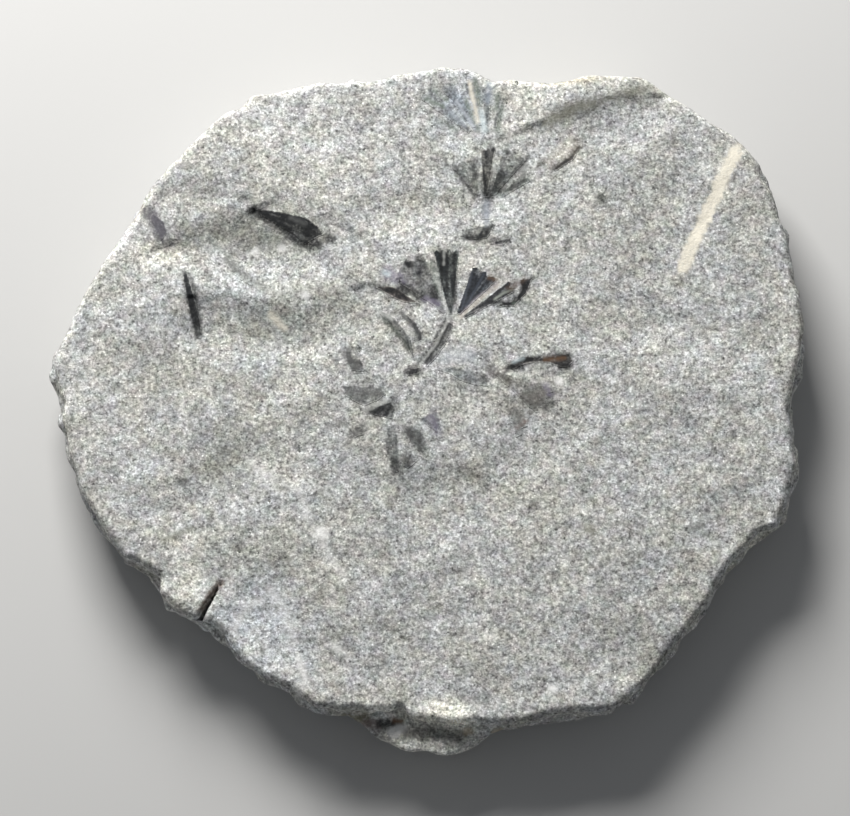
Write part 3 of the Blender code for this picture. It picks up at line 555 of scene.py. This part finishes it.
class FossilStage(bpy.types.PropertyGroup):
    """The floor, the lights and the camera"""
    floor: bpy.props.FloatVectorProperty(
        name="Floor", description="Colour of the floor",
        subtype='COLOR', size=3, default=(0.55, 0.55, 0.545), min=0.0, max=1.0)
    elevation: bpy.props.FloatProperty(
        name="Elevation", description="How steeply the camera looks down",
        subtype='ANGLE', default=math.radians(78))
    distance: bpy.props.FloatProperty(
        name="Distance", description="From the camera to the face of the slab",
        default=0.95, min=0.1, unit='LENGTH')
    key: bpy.props.FloatProperty(
        name="Key light", description="Power of the key light", default=3.5, min=0.0, unit='POWER')
    sky: bpy.props.FloatProperty(
        name="Sky", description="Strength of the light from all around", default=0.17, min=0.0)


def activate(item):
    """Make one object the only selected one, and the active one."""
    bpy.ops.object.select_all(action='DESELECT')
    item.select_set(True)
    bpy.context.view_layer.objects.active = item


def apply_modifier(item, name, kind, **values):
    """Add a modifier with its values and apply it."""
    activate(item)
    modifier = item.modifiers.new(name, kind)
    for key, value in values.items():
        setattr(modifier, key, value)
    bpy.ops.object.modifier_apply(modifier=name)


def edit_faces(item, choose):
    """Open the active mesh in edit mode with only the faces selected that choose picks."""
    bpy.ops.object.mode_set(mode='EDIT')
    bpy.ops.mesh.select_mode(type='FACE')
    bpy.ops.mesh.select_all(action='DESELECT')
    mesh = bmesh.from_edit_mesh(item.data)
    for face, chosen in zip(mesh.faces, choose(mesh.faces)):
        face.select = bool(chosen)
    bmesh.update_edit_mesh(item.data)


def read_points(item):
    """The vertices of a mesh, in the millimetres of the tables."""
    points = np.empty(len(item.data.vertices) * 3)
    item.data.vertices.foreach_get("co", points)
    points = points.reshape(-1, 3) / MM
    points[:, 0] += CENTRE[0]
    points[:, 1] += CENTRE[1]
    return points


def write_points(item, points):
    """Move the vertices of a mesh to points in the millimetres of the tables."""
    moved = points.copy()
    moved[:, 0] -= CENTRE[0]
    moved[:, 1] -= CENTRE[1]
    item.data.vertices.foreach_set("co", (moved * MM).ravel())
    item.data.update()


def tree_of(item):
    """A search tree of a mesh, for rays."""
    return BVHTree.FromPolygons(
        [vertex.co for vertex in item.data.vertices],
        [list(face.vertices) for face in item.data.polygons])


def noise_at(points, wavelength, layer):
    """A smooth noise at each point, from about -1 to 1, of its own layer."""
    x_length, y_length, z_length = np.broadcast_to(wavelength, 3)
    return np.array([
        noise.noise(Vector((x / x_length + layer, y / y_length, z / z_length)))
        for x, y, z in points])


def added_noises(points, noises, start=0.0):
    """Noises of several sizes, added to a start."""
    return sum((amount * noise_at(points, wavelength, layer)
                for amount, wavelength, layer in noises), start)


def line_distance(x, y, line):
    """Distance of points to a line of straight pieces, positive on its left hand."""
    nearest = np.full(np.shape(x), np.inf)
    side = np.ones(np.shape(x))
    for (ax, ay), (bx, by) in zip(line, line[1:]):
        dx, dy = bx - ax, by - ay
        along = np.clip(((x - ax) * dx + (y - ay) * dy) / (dx * dx + dy * dy), 0, 1)
        distance = np.hypot(x - ax - along * dx, y - ay - along * dy)
        closer = distance < nearest
        nearest = np.where(closer, distance, nearest)
        side = np.where(closer, np.sign(dx * (y - ay) - dy * (x - ax)), side)
    return nearest * side


def inside(x, y, outline):
    """Whether points lie in a closed outline."""
    crossings = np.zeros(np.shape(x), dtype=int)
    for (ax, ay), (bx, by) in zip(outline, outline[1:] + outline[:1]):
        if ay == by:
            continue
        spans = (ay > y) != (by > y)
        crossings += spans & (x < ax + (y - ay) * (bx - ax) / (by - ay))
    return crossings % 2 == 1


def bell(x, y, cx, cy, half_length, half_breadth, turn):
    """A soft patch: 1 at its centre, fading out past its half length and half breadth."""
    angle = math.radians(turn)
    u = (x - cx) * math.cos(angle) + (y - cy) * math.sin(angle)
    v = (y - cy) * math.cos(angle) - (x - cx) * math.sin(angle)
    return np.exp(-(u / half_length) ** 2 - (v / half_breadth) ** 2)


def face_height(x, y):
    """Height of the split face over the base."""
    height = np.full(np.shape(x), FACE_HEIGHT)
    for cx, cy, half_length, half_breadth, turn, depth in HOLLOWS:
        height -= RELIEF * depth * bell(x, y, cx, cy, half_length, half_breadth, turn)
    for line, drop, reach in LEDGES:
        distance = line_distance(x, y, line)
        step = np.clip(distance / LEDGE_HALF_WIDTH, -1, 1)
        height += 0.5 * RELIEF * drop * step * np.exp(-np.abs(distance) / reach)
    return height


def crack_depth(x, y):
    """Depth of the crack, a groove that narrows from its mouth to its inner end."""
    mouth, end = np.array(CRACK_MOUTH), np.array(CRACK_END)
    length = np.linalg.norm(end - mouth)
    along = (end - mouth) / length
    u = ((x - mouth[0]) * along[0] + (y - mouth[1]) * along[1]) / length
    v = np.abs((y - mouth[1]) * along[0] - (x - mouth[0]) * along[1])
    half = CRACK_WIDTH / 2 * np.clip(1 - u, 0, 1)
    bank = np.clip(CRACK_BANK - v / np.maximum(half, CRACK_LEAST), 0, 1)
    return np.where(u > -CRACK_OVERRUN, CRACK_DEPTH * bank, 0)


def side_radii():
    """Levels of the slab's side, and how far the side stands out on each spoke at each level."""
    tree = tree_of(frame["nodes"]["slab"])
    levels = np.linspace(LOW_LEVEL, TOP_LEVEL, round(TOP_LEVEL / LEVEL_STEP))
    radii = np.zeros((len(levels), SPOKES))
    for row, level in enumerate(levels):
        for spoke in range(SPOKES):
            angle = 2 * math.pi * spoke / SPOKES
            outward = Vector((math.cos(angle), math.sin(angle), 0))
            start = outward * MEASURE_FROM * MM + Vector((0, 0, level * MM))
            place = tree.ray_cast(start, -outward)[0]
            radii[row, spoke] = math.hypot(place.x, place.y) / MM
    return levels, radii


def rough_slab(levels, radii):
    """The slab's body: a ring drawn up level by level along its broken side."""
    bpy.ops.object.select_all(action='DESELECT')
    bpy.ops.mesh.primitive_circle_add(
        vertices=SPOKES, radius=1.0, fill_type='NGON', location=(0, 0, 0))
    slab = bpy.context.object
    slab.name = slab.data.name = "slab_stone"
    bpy.ops.object.mode_set(mode='EDIT')
    mesh = bmesh.from_edit_mesh(slab.data)
    rings = [(0.0, radii[0])] + list(zip(levels[1:], radii[1:])) + [(FACE_HEIGHT, radii[-1])]
    for number, (level, ring) in enumerate(rings):
        if number:
            bpy.ops.mesh.extrude_region_move()
            mesh = bmesh.from_edit_mesh(slab.data)
        for vertex in mesh.verts:
            if vertex.select:
                angle = math.atan2(vertex.co.y, vertex.co.x)
                spoke = round(angle / (2 * math.pi) * SPOKES) % SPOKES
                angle = 2 * math.pi * spoke / SPOKES
                reach = ring[spoke] * MM
                vertex.co = (reach * math.cos(angle), reach * math.sin(angle), level * MM)
        bmesh.update_edit_mesh(slab.data)
    bpy.ops.mesh.select_all(action='SELECT')
    bpy.ops.mesh.normals_make_consistent(inside=False)
    bpy.ops.object.mode_set(mode='OBJECT')
    return slab


def rim_places(points, radii):
    """Points from the middle of the slab: x, y, their distance, and how far out the rim is there."""
    x, y = points[:, 0] - CENTRE[0], points[:, 1] - CENTRE[1]
    angle = np.arctan2(y, x) % (2 * math.pi)
    spokes = np.arange(SPOKES + 1) * 2 * math.pi / SPOKES
    rim = np.interp(angle, spokes, np.append(radii[-1], radii[-1][0]))
    return x, y, np.hypot(x, y), rim


def sculpt_side(points, radii):
    """Push the side in and out in beds and chips, and give each point's distance to the rim."""
    x, y, reach, rim = rim_places(points, radii)
    z = points[:, 2]
    side = np.clip(1 - (rim - reach) / SIDE_DEPTH, 0, 1) * np.clip(z / FOOT_HEIGHT, 0, 1)
    calm = 1 - RIM_CALM * np.clip((z - CALM_LEVEL) / CALM_HEIGHT, 0, 1)
    out = side * added_noises(points, SIDE_NOISES) * calm
    points[:, 0] += out * x / reach
    points[:, 1] += out * y / reach
    return rim - reach - out


def sculpt_slab(slab, radii):
    """Shape the fine mesh: split face on top, laminated side, and a base that rests flat."""
    points = read_points(slab)
    depth_in = sculpt_side(points, radii)
    x, y, z = points.T
    rounding = RIM_DROP * np.clip(1 - depth_in / RIM_WIDTH, 0, 1) ** 2
    height = face_height(x, y) - rounding - crack_depth(x, y)
    lift = np.clip((z - TOP_LEVEL) / (FACE_HEIGHT - TOP_LEVEL), 0, None)
    upper = np.where(z > TOP_LEVEL, TOP_LEVEL + lift * (height - TOP_LEVEL), z)
    flat = np.column_stack([x, y, np.zeros_like(x)])
    on_face = np.clip((z - TOP_LEVEL) / FACE_BLEND, 0, 1)
    upper = upper + on_face * added_noises(flat, FACE_NOISES)
    base = added_noises(flat, BASE_NOISES, BASE_HEIGHT)
    points[:, 2] = np.maximum(np.where(z < BASE_LEVEL, base, upper), 0)
    write_points(slab, points)


def thin_underside(slab):
    """Fewer faces on the underside, which is nearly flat."""
    activate(slab)
    edit_faces(slab, lambda faces: [
        face.normal.z < -UNDERSIDE_NORMAL and face.calc_center_median().z < UNDERSIDE_LEVEL * MM
        for face in faces])
    bpy.ops.mesh.decimate(ratio=UNDERSIDE_KEPT)
    bpy.ops.object.mode_set(mode='OBJECT')


def rim_light(points, radii):
    """The pale worn rim with a painted highlight, palest where it faces the light, as a tint for
    each point.
    """
    x, y, reach, rim = rim_places(points, radii)
    near = np.clip(1 - (rim - reach) / RIM_PALE_WIDTH, 0, 1)
    lit = RIM_SHARE + RIM_GAIN * (RIM_LIT[0] * x + RIM_LIT[1] * y) / reach
    on_face = np.clip(points[:, 2] - TOP_LEVEL, 0, 1)
    colour = np.ones((len(points), 4))
    colour[:, :3] += (near * np.clip(lit, RIM_LEAST, 1) * on_face)[:, None] * np.array(RIM_PALE_AND_HIGHLIGHT)
    return colour


def view_places(points):
    """The pixels of the view where points of the face lie."""
    return (VIEW_ZERO[0] + VIEW_SCALE[0] * points[:, 0],
            VIEW_ZERO[1] - VIEW_SCALE[1] * points[:, 1])


def stains_and_shading(points):
    """The soft stains and the painted shade and light of the face, as a tint for each point."""
    px, py = view_places(points)
    colour = np.ones((len(points), 4))
    for cx, cy, half_length, half_breadth, turn, tint in STAINS_AND_SHADING.values():
        share = bell(px, py, cx, cy, half_length, half_breadth, turn)[:, None]
        colour[:, :3] *= 1 + share * (np.array(tint) - 1)
    return colour


def draw_marks(points, widening=0.0):
    """The marks of the face, as a colour times its strength, and the strength."""
    places = np.column_stack(view_places(points))
    layer = np.zeros((len(points), 4))
    for line, width, softness, colour, strength in MARKS.values():
        half = width / 2 + widening
        low, high = np.min(line, axis=0), np.max(line, axis=0)
        away = np.maximum(low - places, places - high).max(axis=1)
        near = np.flatnonzero(away < half + softness)
        if not len(near):
            continue
        wobble = MARK_WOBBLE * width * noise_at(points[near], MARK_WAVELENGTH, width)
        distance = np.abs(line_distance(*places[near].T, line)) + wobble
        share = strength * np.clip(0.5 + (half - distance) / softness, 0, 1)[:, None]
        layer[near] = layer[near] * (1 - share) + np.append(colour, 1.0) * share
    return layer


def store_colour(item, name, colour):
    """Keep a colour for each vertex."""
    layer = item.data.color_attributes.new(name, 'FLOAT_COLOR', 'POINT')
    layer.data.foreach_set("color", colour.astype(np.float32).ravel())


def store_value(item, name, values):
    """Keep a number for each vertex."""
    layer = item.data.attributes.new(name, 'FLOAT', 'POINT')
    layer.data.foreach_set("value", values.astype(np.float32))


def top_outline(node):
    """The outline of a packed film's upper face, a closed list of points."""
    mesh = bmesh.new()
    mesh.from_mesh(frame["nodes"][node].data)
    bmesh.ops.remove_doubles(mesh, verts=mesh.verts, dist=MERGE_DISTANCE)
    mesh.normal_update()
    following = {}
    for face in mesh.faces:
        if face.normal.z < UPPER_NORMAL:
            continue
        for loop in face.loops:
            if loop.link_loop_radial_next.face.normal.z < UPPER_NORMAL:
                following[loop.vert] = loop.link_loop_next.vert
    outline = []
    here = start = next(iter(following))
    while not outline or here != start:
        outline.append((here.co.x / MM + CENTRE[0], here.co.y / MM + CENTRE[1]))
        here = following[here]
    mesh.free()
    return outline


def ragged_outline(outline, layer):
    """The outline in short steps, each moved a little to one side like a torn edge."""
    points = []
    for (ax, ay), (bx, by) in zip(outline, outline[1:] + outline[:1]):
        length = math.hypot(bx - ax, by - ay)
        pieces = max(1, round(length / EDGE_STEP))
        for number in range(pieces):
            share = number / pieces
            x, y = ax + (bx - ax) * share, ay + (by - ay) * share
            place = Vector((x / EDGE_WAVELENGTH, y / EDGE_WAVELENGTH, layer))
            shift = EDGE_RAGGEDNESS * noise.noise(place)
            points.append((x - (by - ay) / length * shift, y + (bx - ax) / length * shift))
    return points


def veins(dx, dy, layer):
    """The fine veins that run out from a leaf's foot, as a factor near 1."""
    angle = np.arctan2(dy, dx) / VEIN_ANGLE
    reach = np.hypot(dx, dy) / VEIN_LENGTH
    return 1 + VEIN_DEPTH * np.array([
        noise.noise(Vector((a, r, layer))) for a, r in zip(angle, reach)])


def film_grid(name, outline, cell):
    """A fine flat grid, cut to the outline of a film."""
    xs, ys = zip(*outline)
    width, depth = max(xs) - min(xs) + 2 * cell, max(ys) - min(ys) + 2 * cell
    middle = ((max(xs) + min(xs)) / 2, (max(ys) + min(ys)) / 2)
    bpy.ops.object.select_all(action='DESELECT')
    bpy.ops.mesh.primitive_grid_add(
        x_subdivisions=math.ceil(width / cell), y_subdivisions=math.ceil(depth / cell), size=1.0)
    film = bpy.context.object
    film.name = film.data.name = name
    # The grid is one metre wide, so it is brought to the width, depth and middle of the film
    points = read_points(film)
    points[:, 0] = (points[:, 0] - CENTRE[0]) * MM * width + middle[0]
    points[:, 1] = (points[:, 1] - CENTRE[1]) * MM * depth + middle[1]
    write_points(film, points)

    def outside(faces):
        centres = np.array([face.calc_center_median()[:2] for face in faces]) / MM + CENTRE
        return ~inside(centres[:, 0], centres[:, 1], outline)

    edit_faces(film, outside)
    bpy.ops.mesh.delete(type='FACE')
    bpy.ops.object.mode_set(mode='OBJECT')
    return film


def snap_border(film, outline):
    """Bring the border of a cut grid onto the outline."""
    mesh = bmesh.new()
    mesh.from_mesh(film.data)
    starts = np.array(outline)
    spans = np.roll(starts, -1, axis=0) - starts
    for vertex in mesh.verts:
        if not vertex.is_boundary:
            continue
        here = np.array(vertex.co[:2]) / MM + CENTRE
        along = ((here - starts) * spans).sum(1) / (spans ** 2).sum(1)
        places = starts + spans * np.clip(along, 0, 1)[:, None]
        nearest = places[np.argmin(((places - here) ** 2).sum(1))]
        vertex.co.x, vertex.co.y = (nearest - CENTRE) * MM
    mesh.to_mesh(film.data)
    mesh.free()


def drop_on(film, tree, lift):
    """Lay a flat mesh on the face of the stone."""
    down = Vector((0, 0, -1))
    for vertex in film.data.vertices:
        start = Vector((vertex.co.x, vertex.co.y, 2 * FACE_HEIGHT * MM))
        vertex.co.z = tree.ray_cast(start, down)[0].z + lift


def model_film(node, layer, tree, settings):
    """A thin closed mesh that lies on the stone in the place of a packed film, and its outline."""
    outline = ragged_outline(top_outline(node), layer)
    film = film_grid(node + "_film", outline, settings.cell / MM)
    snap_border(film, outline)
    drop_on(film, tree, settings.lift)
    apply_modifier(film, "Thickness", 'SOLIDIFY', thickness=settings.thickness, offset=-1.0)
    return film, outline


def colour_film(film, outline, layer, foot, darkness, softness, tint):
    """Store how well the carbon covers the stone at each point, and the marks, stains and painted
    shade and light there.
    """
    points = read_points(film)
    x, y = points[:, 0], points[:, 1]
    depth_in = np.abs(line_distance(x, y, outline + outline[:1]))
    cover = darkness * np.clip(depth_in / (EDGE_SOFTNESS * softness), 0, 1)
    cover *= veins(x - foot[0], y - foot[1], layer)
    cover *= 1 + PATCH_DEPTH * noise_at(points, PATCH_WAVELENGTH, layer)
    store_value(film, "cover", np.clip(cover, 0, 1))
    store_colour(film, "marks", draw_marks(points))
    colour = stains_and_shading(points)
    colour[:, :3] *= 1 + cover[:, None] * (np.array(tint) - 1)
    store_colour(film, "tint", colour)


def finish_piece(item, material, node):
    """Give a piece its material and its place in the object."""
    item.data.materials.clear()
    item.data.materials.append(material)
    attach(item, "root")
    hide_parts(node)


class Nodes:
    """A short way to write a node tree."""

    def __init__(self, tree):
        self.tree = tree
        tree.nodes.clear()

    def add(self, kind, inputs=(), **values):
        """A node, with its settings, and with values or links on its inputs."""
        node = self.tree.nodes.new(kind)
        for key, value in values.items():
            setattr(node, key, value)
        for key, value in dict(inputs).items():
            socket = node.inputs[key]
            if isinstance(value, bpy.types.NodeSocket):
                self.tree.links.new(value, socket)
            else:
                socket.default_value = value
        return node

    def place(self):
        """Where a point lies in the piece."""
        return self.add('ShaderNodeTexCoord').outputs["Object"]

    def stored(self, name):
        """What a piece keeps for each vertex under a name."""
        return self.add('ShaderNodeAttribute', attribute_name=name).outputs

    def noise(self, place, wavelength, detail, roughness=0.5):
        """A noise with its wavelength in millimetres."""
        return self.add('ShaderNodeTexNoise', {
            "Vector": place, "Scale": 1 / (wavelength * MM), "Detail": detail,
            "Roughness": roughness}).outputs

    def math(self, operation, first, second, third=0.0, clamp=False):
        """A sum, product or other calculation."""
        return self.add('ShaderNodeMath', {0: first, 1: second, 2: third},
                        operation=operation, use_clamp=clamp).outputs[0]

    def mix(self, share, first, second, blend='MIX'):
        """A mix of two colours."""
        return self.add('ShaderNodeMix', {0: share, 6: first, 7: second},
                        data_type='RGBA', blend_type=blend).outputs[2]

    def spread(self, value, low, high, to_low=0.0, to_high=1.0):
        """A value with its range from low to high brought to another range."""
        return self.add('ShaderNodeMapRange', {
            "Value": value, "From Min": low, "From Max": high,
            "To Min": to_low, "To Max": to_high}).outputs[0]


def stone_group(settings):
    """The colour, roughness and relief of the siltstone, as a group for every material."""
    group = bpy.data.node_groups.new("Siltstone", 'ShaderNodeTree')
    for name, kind in (("Color", 'Color'), ("Roughness", 'Float'), ("Height", 'Float')):
        group.interface.new_socket(name, in_out='OUTPUT', socket_type='NodeSocket' + kind)
    nodes = Nodes(group)
    place = nodes.place()
    cells = nodes.add('ShaderNodeTexVoronoi', {"Vector": place, "Scale": 1 / settings.grain})
    cell = nodes.add('ShaderNodeSeparateColor', {"Color": cells.outputs["Color"]}).outputs
    grains = {name: nodes.noise(place, *values)[0] for name, values in STONE_NOISES.items()}
    grains["cell"] = cell[0]

    tone = 1.0
    for name, values in STONE_TONES.items():
        tone = nodes.math('MULTIPLY', tone, nodes.spread(grains[name], *values))
    bright = nodes.math('MULTIPLY', nodes.spread(cell[1], *WHITE_GRAINS),
                        nodes.spread(cells.outputs["Distance"], *WHITE_GRAIN_EDGE))
    dark = nodes.spread(cell[2], *BLACK_GRAINS)
    tone = nodes.math('ADD', tone, nodes.math('MULTIPLY', bright, WHITE_GRAIN_TONE))
    tone = nodes.math('MULTIPLY_ADD', dark, BLACK_GRAIN_TONE, tone)
    tone = nodes.math('MAXIMUM', tone, LEAST_TONE)

    grey = nodes.add('ShaderNodeCombineColor', {0: tone, 1: tone, 2: tone}).outputs[0]
    colour = nodes.mix(1.0, (*settings.colour, 1.0), grey, 'MULTIPLY')
    colour = nodes.mix(HUE_SHARE, colour, nodes.noise(place, *HUE_NOISE)["Color"], 'OVERLAY')
    cast = nodes.mix(nodes.spread(grains["blotches"], *CAST_RANGE), BLUE_CAST, OLIVE_CAST)
    colour = nodes.mix(1.0, colour, cast, 'MULTIPLY')
    height = 0.0
    for name, share in STONE_HEIGHTS.items():
        height = nodes.math('ADD', height, nodes.math('MULTIPLY', grains[name], share))
    nodes.add('NodeGroupOutput', {
        "Color": colour, "Roughness": nodes.spread(bright, 0.0, 1.0, *STONE_ROUGHNESS),
        "Height": height})
    return group


def add_marks(nodes, colour):
    """Lay the painted marks over a colour, broken up by the grain."""
    marks = nodes.stored("marks")
    grain = nodes.noise(nodes.place(), *MARK_NOISE)[0]
    kept = nodes.spread(grain, *MARK_KEPT)
    bare = nodes.math('SUBTRACT', 1.0, nodes.math('MULTIPLY', marks["Alpha"], kept))
    below = nodes.mix(1.0, colour, bare, 'MULTIPLY')
    above = nodes.mix(1.0, marks["Color"], kept, 'MULTIPLY')
    return nodes.mix(1.0, below, above, 'ADD')


def new_material(name):
    """A material with the stone's group: the material, its nodes and the group's outputs."""
    material = bpy.data.materials.new(name)
    material.use_nodes = True
    nodes = Nodes(material.node_tree)
    group = bpy.data.node_groups.get("Siltstone") or stone_group(bpy.context.scene.fossil_stone)
    return material, nodes, nodes.add('ShaderNodeGroup', node_tree=group).outputs


def finish_material(nodes, colour, height, relief, finish):
    """Tint and mark the colour, and end the material with its relief and its shader."""
    strength, depth = relief
    tinted = nodes.mix(1.0, colour, nodes.stored("tint")["Color"], 'MULTIPLY')
    bump = nodes.add('ShaderNodeBump', {
        "Height": height, "Strength": strength, "Distance": depth * MM})
    shader = nodes.add('ShaderNodeBsdfPrincipled', {
        "Base Color": add_marks(nodes, tinted), "Normal": bump.outputs[0], **finish})
    nodes.add('ShaderNodeOutputMaterial', {"Surface": shader.outputs[0]})


def make_stone():
    """The material of the slab."""
    material, nodes, stone = new_material("siltstone")
    finish_material(nodes, stone["Color"], stone["Height"], STONE_RELIEF,
                    {"Roughness": stone["Roughness"]})
    return material


def make_film(name, settings):
    """The material of a carbon film: carbon over stone that shows where the film is thin."""
    material, nodes, stone = new_material(name)
    place = nodes.place()
    worn = nodes.spread(nodes.noise(place, *WORN_NOISE)[0], *WORN_RANGE)
    share = nodes.math('MULTIPLY', nodes.stored("cover")["Fac"], worn, clamp=True)
    speck = nodes.spread(nodes.noise(place, *SPECK_NOISE)[0], *SPECK_RANGE)
    carbon = nodes.mix(speck, (*settings.colour, 1.0),
                       (*[SPECK_GAIN * part for part in settings.colour], 1.0))
    colour = nodes.mix(share, stone["Color"], carbon)
    rough = nodes.math('MULTIPLY_ADD', share, -FILM_SHEEN, FILM_ROUGHNESS)
    finish_material(nodes, colour, stone["Height"], FILM_RELIEF,
                    {"Roughness": rough, "Specular IOR Level": FILM_SPECULAR})
    return material


def add_floor(settings):
    """The plain floor under the slab."""
    bpy.ops.object.select_all(action='DESELECT')
    bpy.ops.mesh.primitive_plane_add(size=FLOOR_SIZE, location=(0, 0, FLOOR_LEVEL))
    floor = bpy.context.object
    floor.name = "floor"
    material = bpy.data.materials.new("floor")
    material.use_nodes = True
    shader = material.node_tree.nodes["Principled BSDF"]
    shader.inputs["Base Color"].default_value = (*settings.floor, 1.0)
    shader.inputs["Roughness"].default_value = FLOOR_ROUGHNESS
    floor.data.materials.append(material)


def add_lights(settings):
    """The soft light from all around, and the key light behind the slab at the left."""
    world = bpy.data.worlds.new("sky")
    world.use_nodes = True
    background = world.node_tree.nodes["Background"]
    background.inputs["Color"].default_value = SKY_COLOUR
    background.inputs["Strength"].default_value = settings.sky
    bpy.context.scene.world = world

    bpy.ops.object.light_add(type='AREA', location=KEY_PLACE)
    key = bpy.context.object
    key.name = "key_light"
    key.data.energy = settings.key
    key.data.size = KEY_SIZE
    key.data.color = KEY_COLOUR
    key.rotation_euler = (-key.location).to_track_quat('-Z', 'Y').to_euler()


def add_camera(settings):
    """The camera, which looks down on the face and frames the view."""
    back = Vector((0, -math.cos(settings.elevation), math.sin(settings.elevation)))
    bpy.ops.object.camera_add(
        location=Vector(CAMERA_TARGET) * MM + back * settings.distance,
        rotation=(math.pi / 2 - settings.elevation, 0, 0))
    camera = bpy.context.object
    camera.data.sensor_width = SENSOR_WIDTH
    camera.data.lens = SENSOR_WIDTH * settings.distance / MM / (VIEW_WIDTH / VIEW_SCALE[0])
    camera.data.clip_end = CLIP_END
    bpy.context.scene.camera = camera
    bpy.context.scene.view_settings.view_transform = 'Standard'


class FOSSIL_OT_slab(bpy.types.Operator):
    """Model the slab of siltstone"""
    bl_idname = "fossil.slab"
    bl_label = "Slab"

    def execute(self, context):
        levels, radii = side_radii()
        slab = rough_slab(levels, radii)
        apply_modifier(slab, "Voxels", 'REMESH', mode='VOXEL',
                       voxel_size=context.scene.fossil_stone.voxel)
        sculpt_slab(slab, radii)
        thin_underside(slab)
        points = read_points(slab)
        # Where faces are joined the base can dip under the floor, so it is brought up again
        points[:, 2] = np.maximum(points[:, 2], 0)
        write_points(slab, points)
        # The tint holds the pale rim with its painted highlight, and the stains with the painted
        # shade and light of the face
        store_colour(slab, "tint", rim_light(points, radii) * stains_and_shading(points))
        store_colour(slab, "marks", draw_marks(points, SLAB_WIDENING))
        activate(slab)
        bpy.ops.object.shade_smooth()
        finish_piece(slab, make_stone(), "slab")
        return {'FINISHED'}


class FOSSIL_OT_films(bpy.types.Operator):
    """Lay the carbon films of the plant on the slab"""
    bl_idname = "fossil.films"
    bl_label = "Leaves and stems"

    def execute(self, context):
        settings = context.scene.fossil_film
        slots = {part["node"]: part["material_slot"] for part in frame["record"]["subparts"]}
        materials = {slot: make_film(slot, settings) for slot in ("black_film", "grey_film")}
        tree = tree_of(bpy.data.objects["slab_stone"])
        for layer, (node, look) in enumerate(FILMS.items()):
            film, outline = model_film(node, layer, tree, settings)
            colour_film(film, outline, layer, *look)
            activate(film)
            bpy.ops.object.shade_smooth_by_angle(angle=FILM_SHARP)
            finish_piece(film, materials[slots[node]], node)
        return {'FINISHED'}


class FOSSIL_OT_stage(bpy.types.Operator):
    """Add the floor, the lights and the camera"""
    bl_idname = "fossil.stage"
    bl_label = "Floor, lights and camera"

    def execute(self, context):
        settings = context.scene.fossil_stage
        add_floor(settings)
        add_lights(settings)
        add_camera(settings)
        return {'FINISHED'}


class FOSSIL_PT_panel(bpy.types.Panel):
    """The steps and sizes of the fossil"""
    bl_idname = "FOSSIL_PT_panel"
    bl_label = "Fossil Sphenophyllum"
    bl_space_type = 'VIEW_3D'
    bl_region_type = 'UI'
    bl_category = "Fossil"

    def draw(self, context):
        layout = self.layout
        for operator in OPERATORS:
            layout.operator(operator.bl_idname)
        for group in GROUPS:
            settings = getattr(context.scene, group)
            for name in settings.bl_rna.properties.keys():
                if name not in ("rna_type", "name"):
                    layout.prop(settings, name)


GROUPS = {"fossil_stone": FossilStone, "fossil_film": FossilFilm, "fossil_stage": FossilStage}
OPERATORS = (FOSSIL_OT_slab, FOSSIL_OT_films, FOSSIL_OT_stage)
CLASSES = (*GROUPS.values(), *OPERATORS, FOSSIL_PT_panel)


def register():
    for item in CLASSES:
        bpy.utils.register_class(item)
    for name, group in GROUPS.items():
        setattr(bpy.types.Scene, name, bpy.props.PointerProperty(type=group))


def unregister():
    for name in GROUPS:
        delattr(bpy.types.Scene, name)
    for item in reversed(CLASSES):
        bpy.utils.unregister_class(item)


def main():
    register()
    bpy.ops.fossil.slab()
    bpy.ops.fossil.films()
    bpy.ops.fossil.stage()


if __name__ == "__main__":
    main()
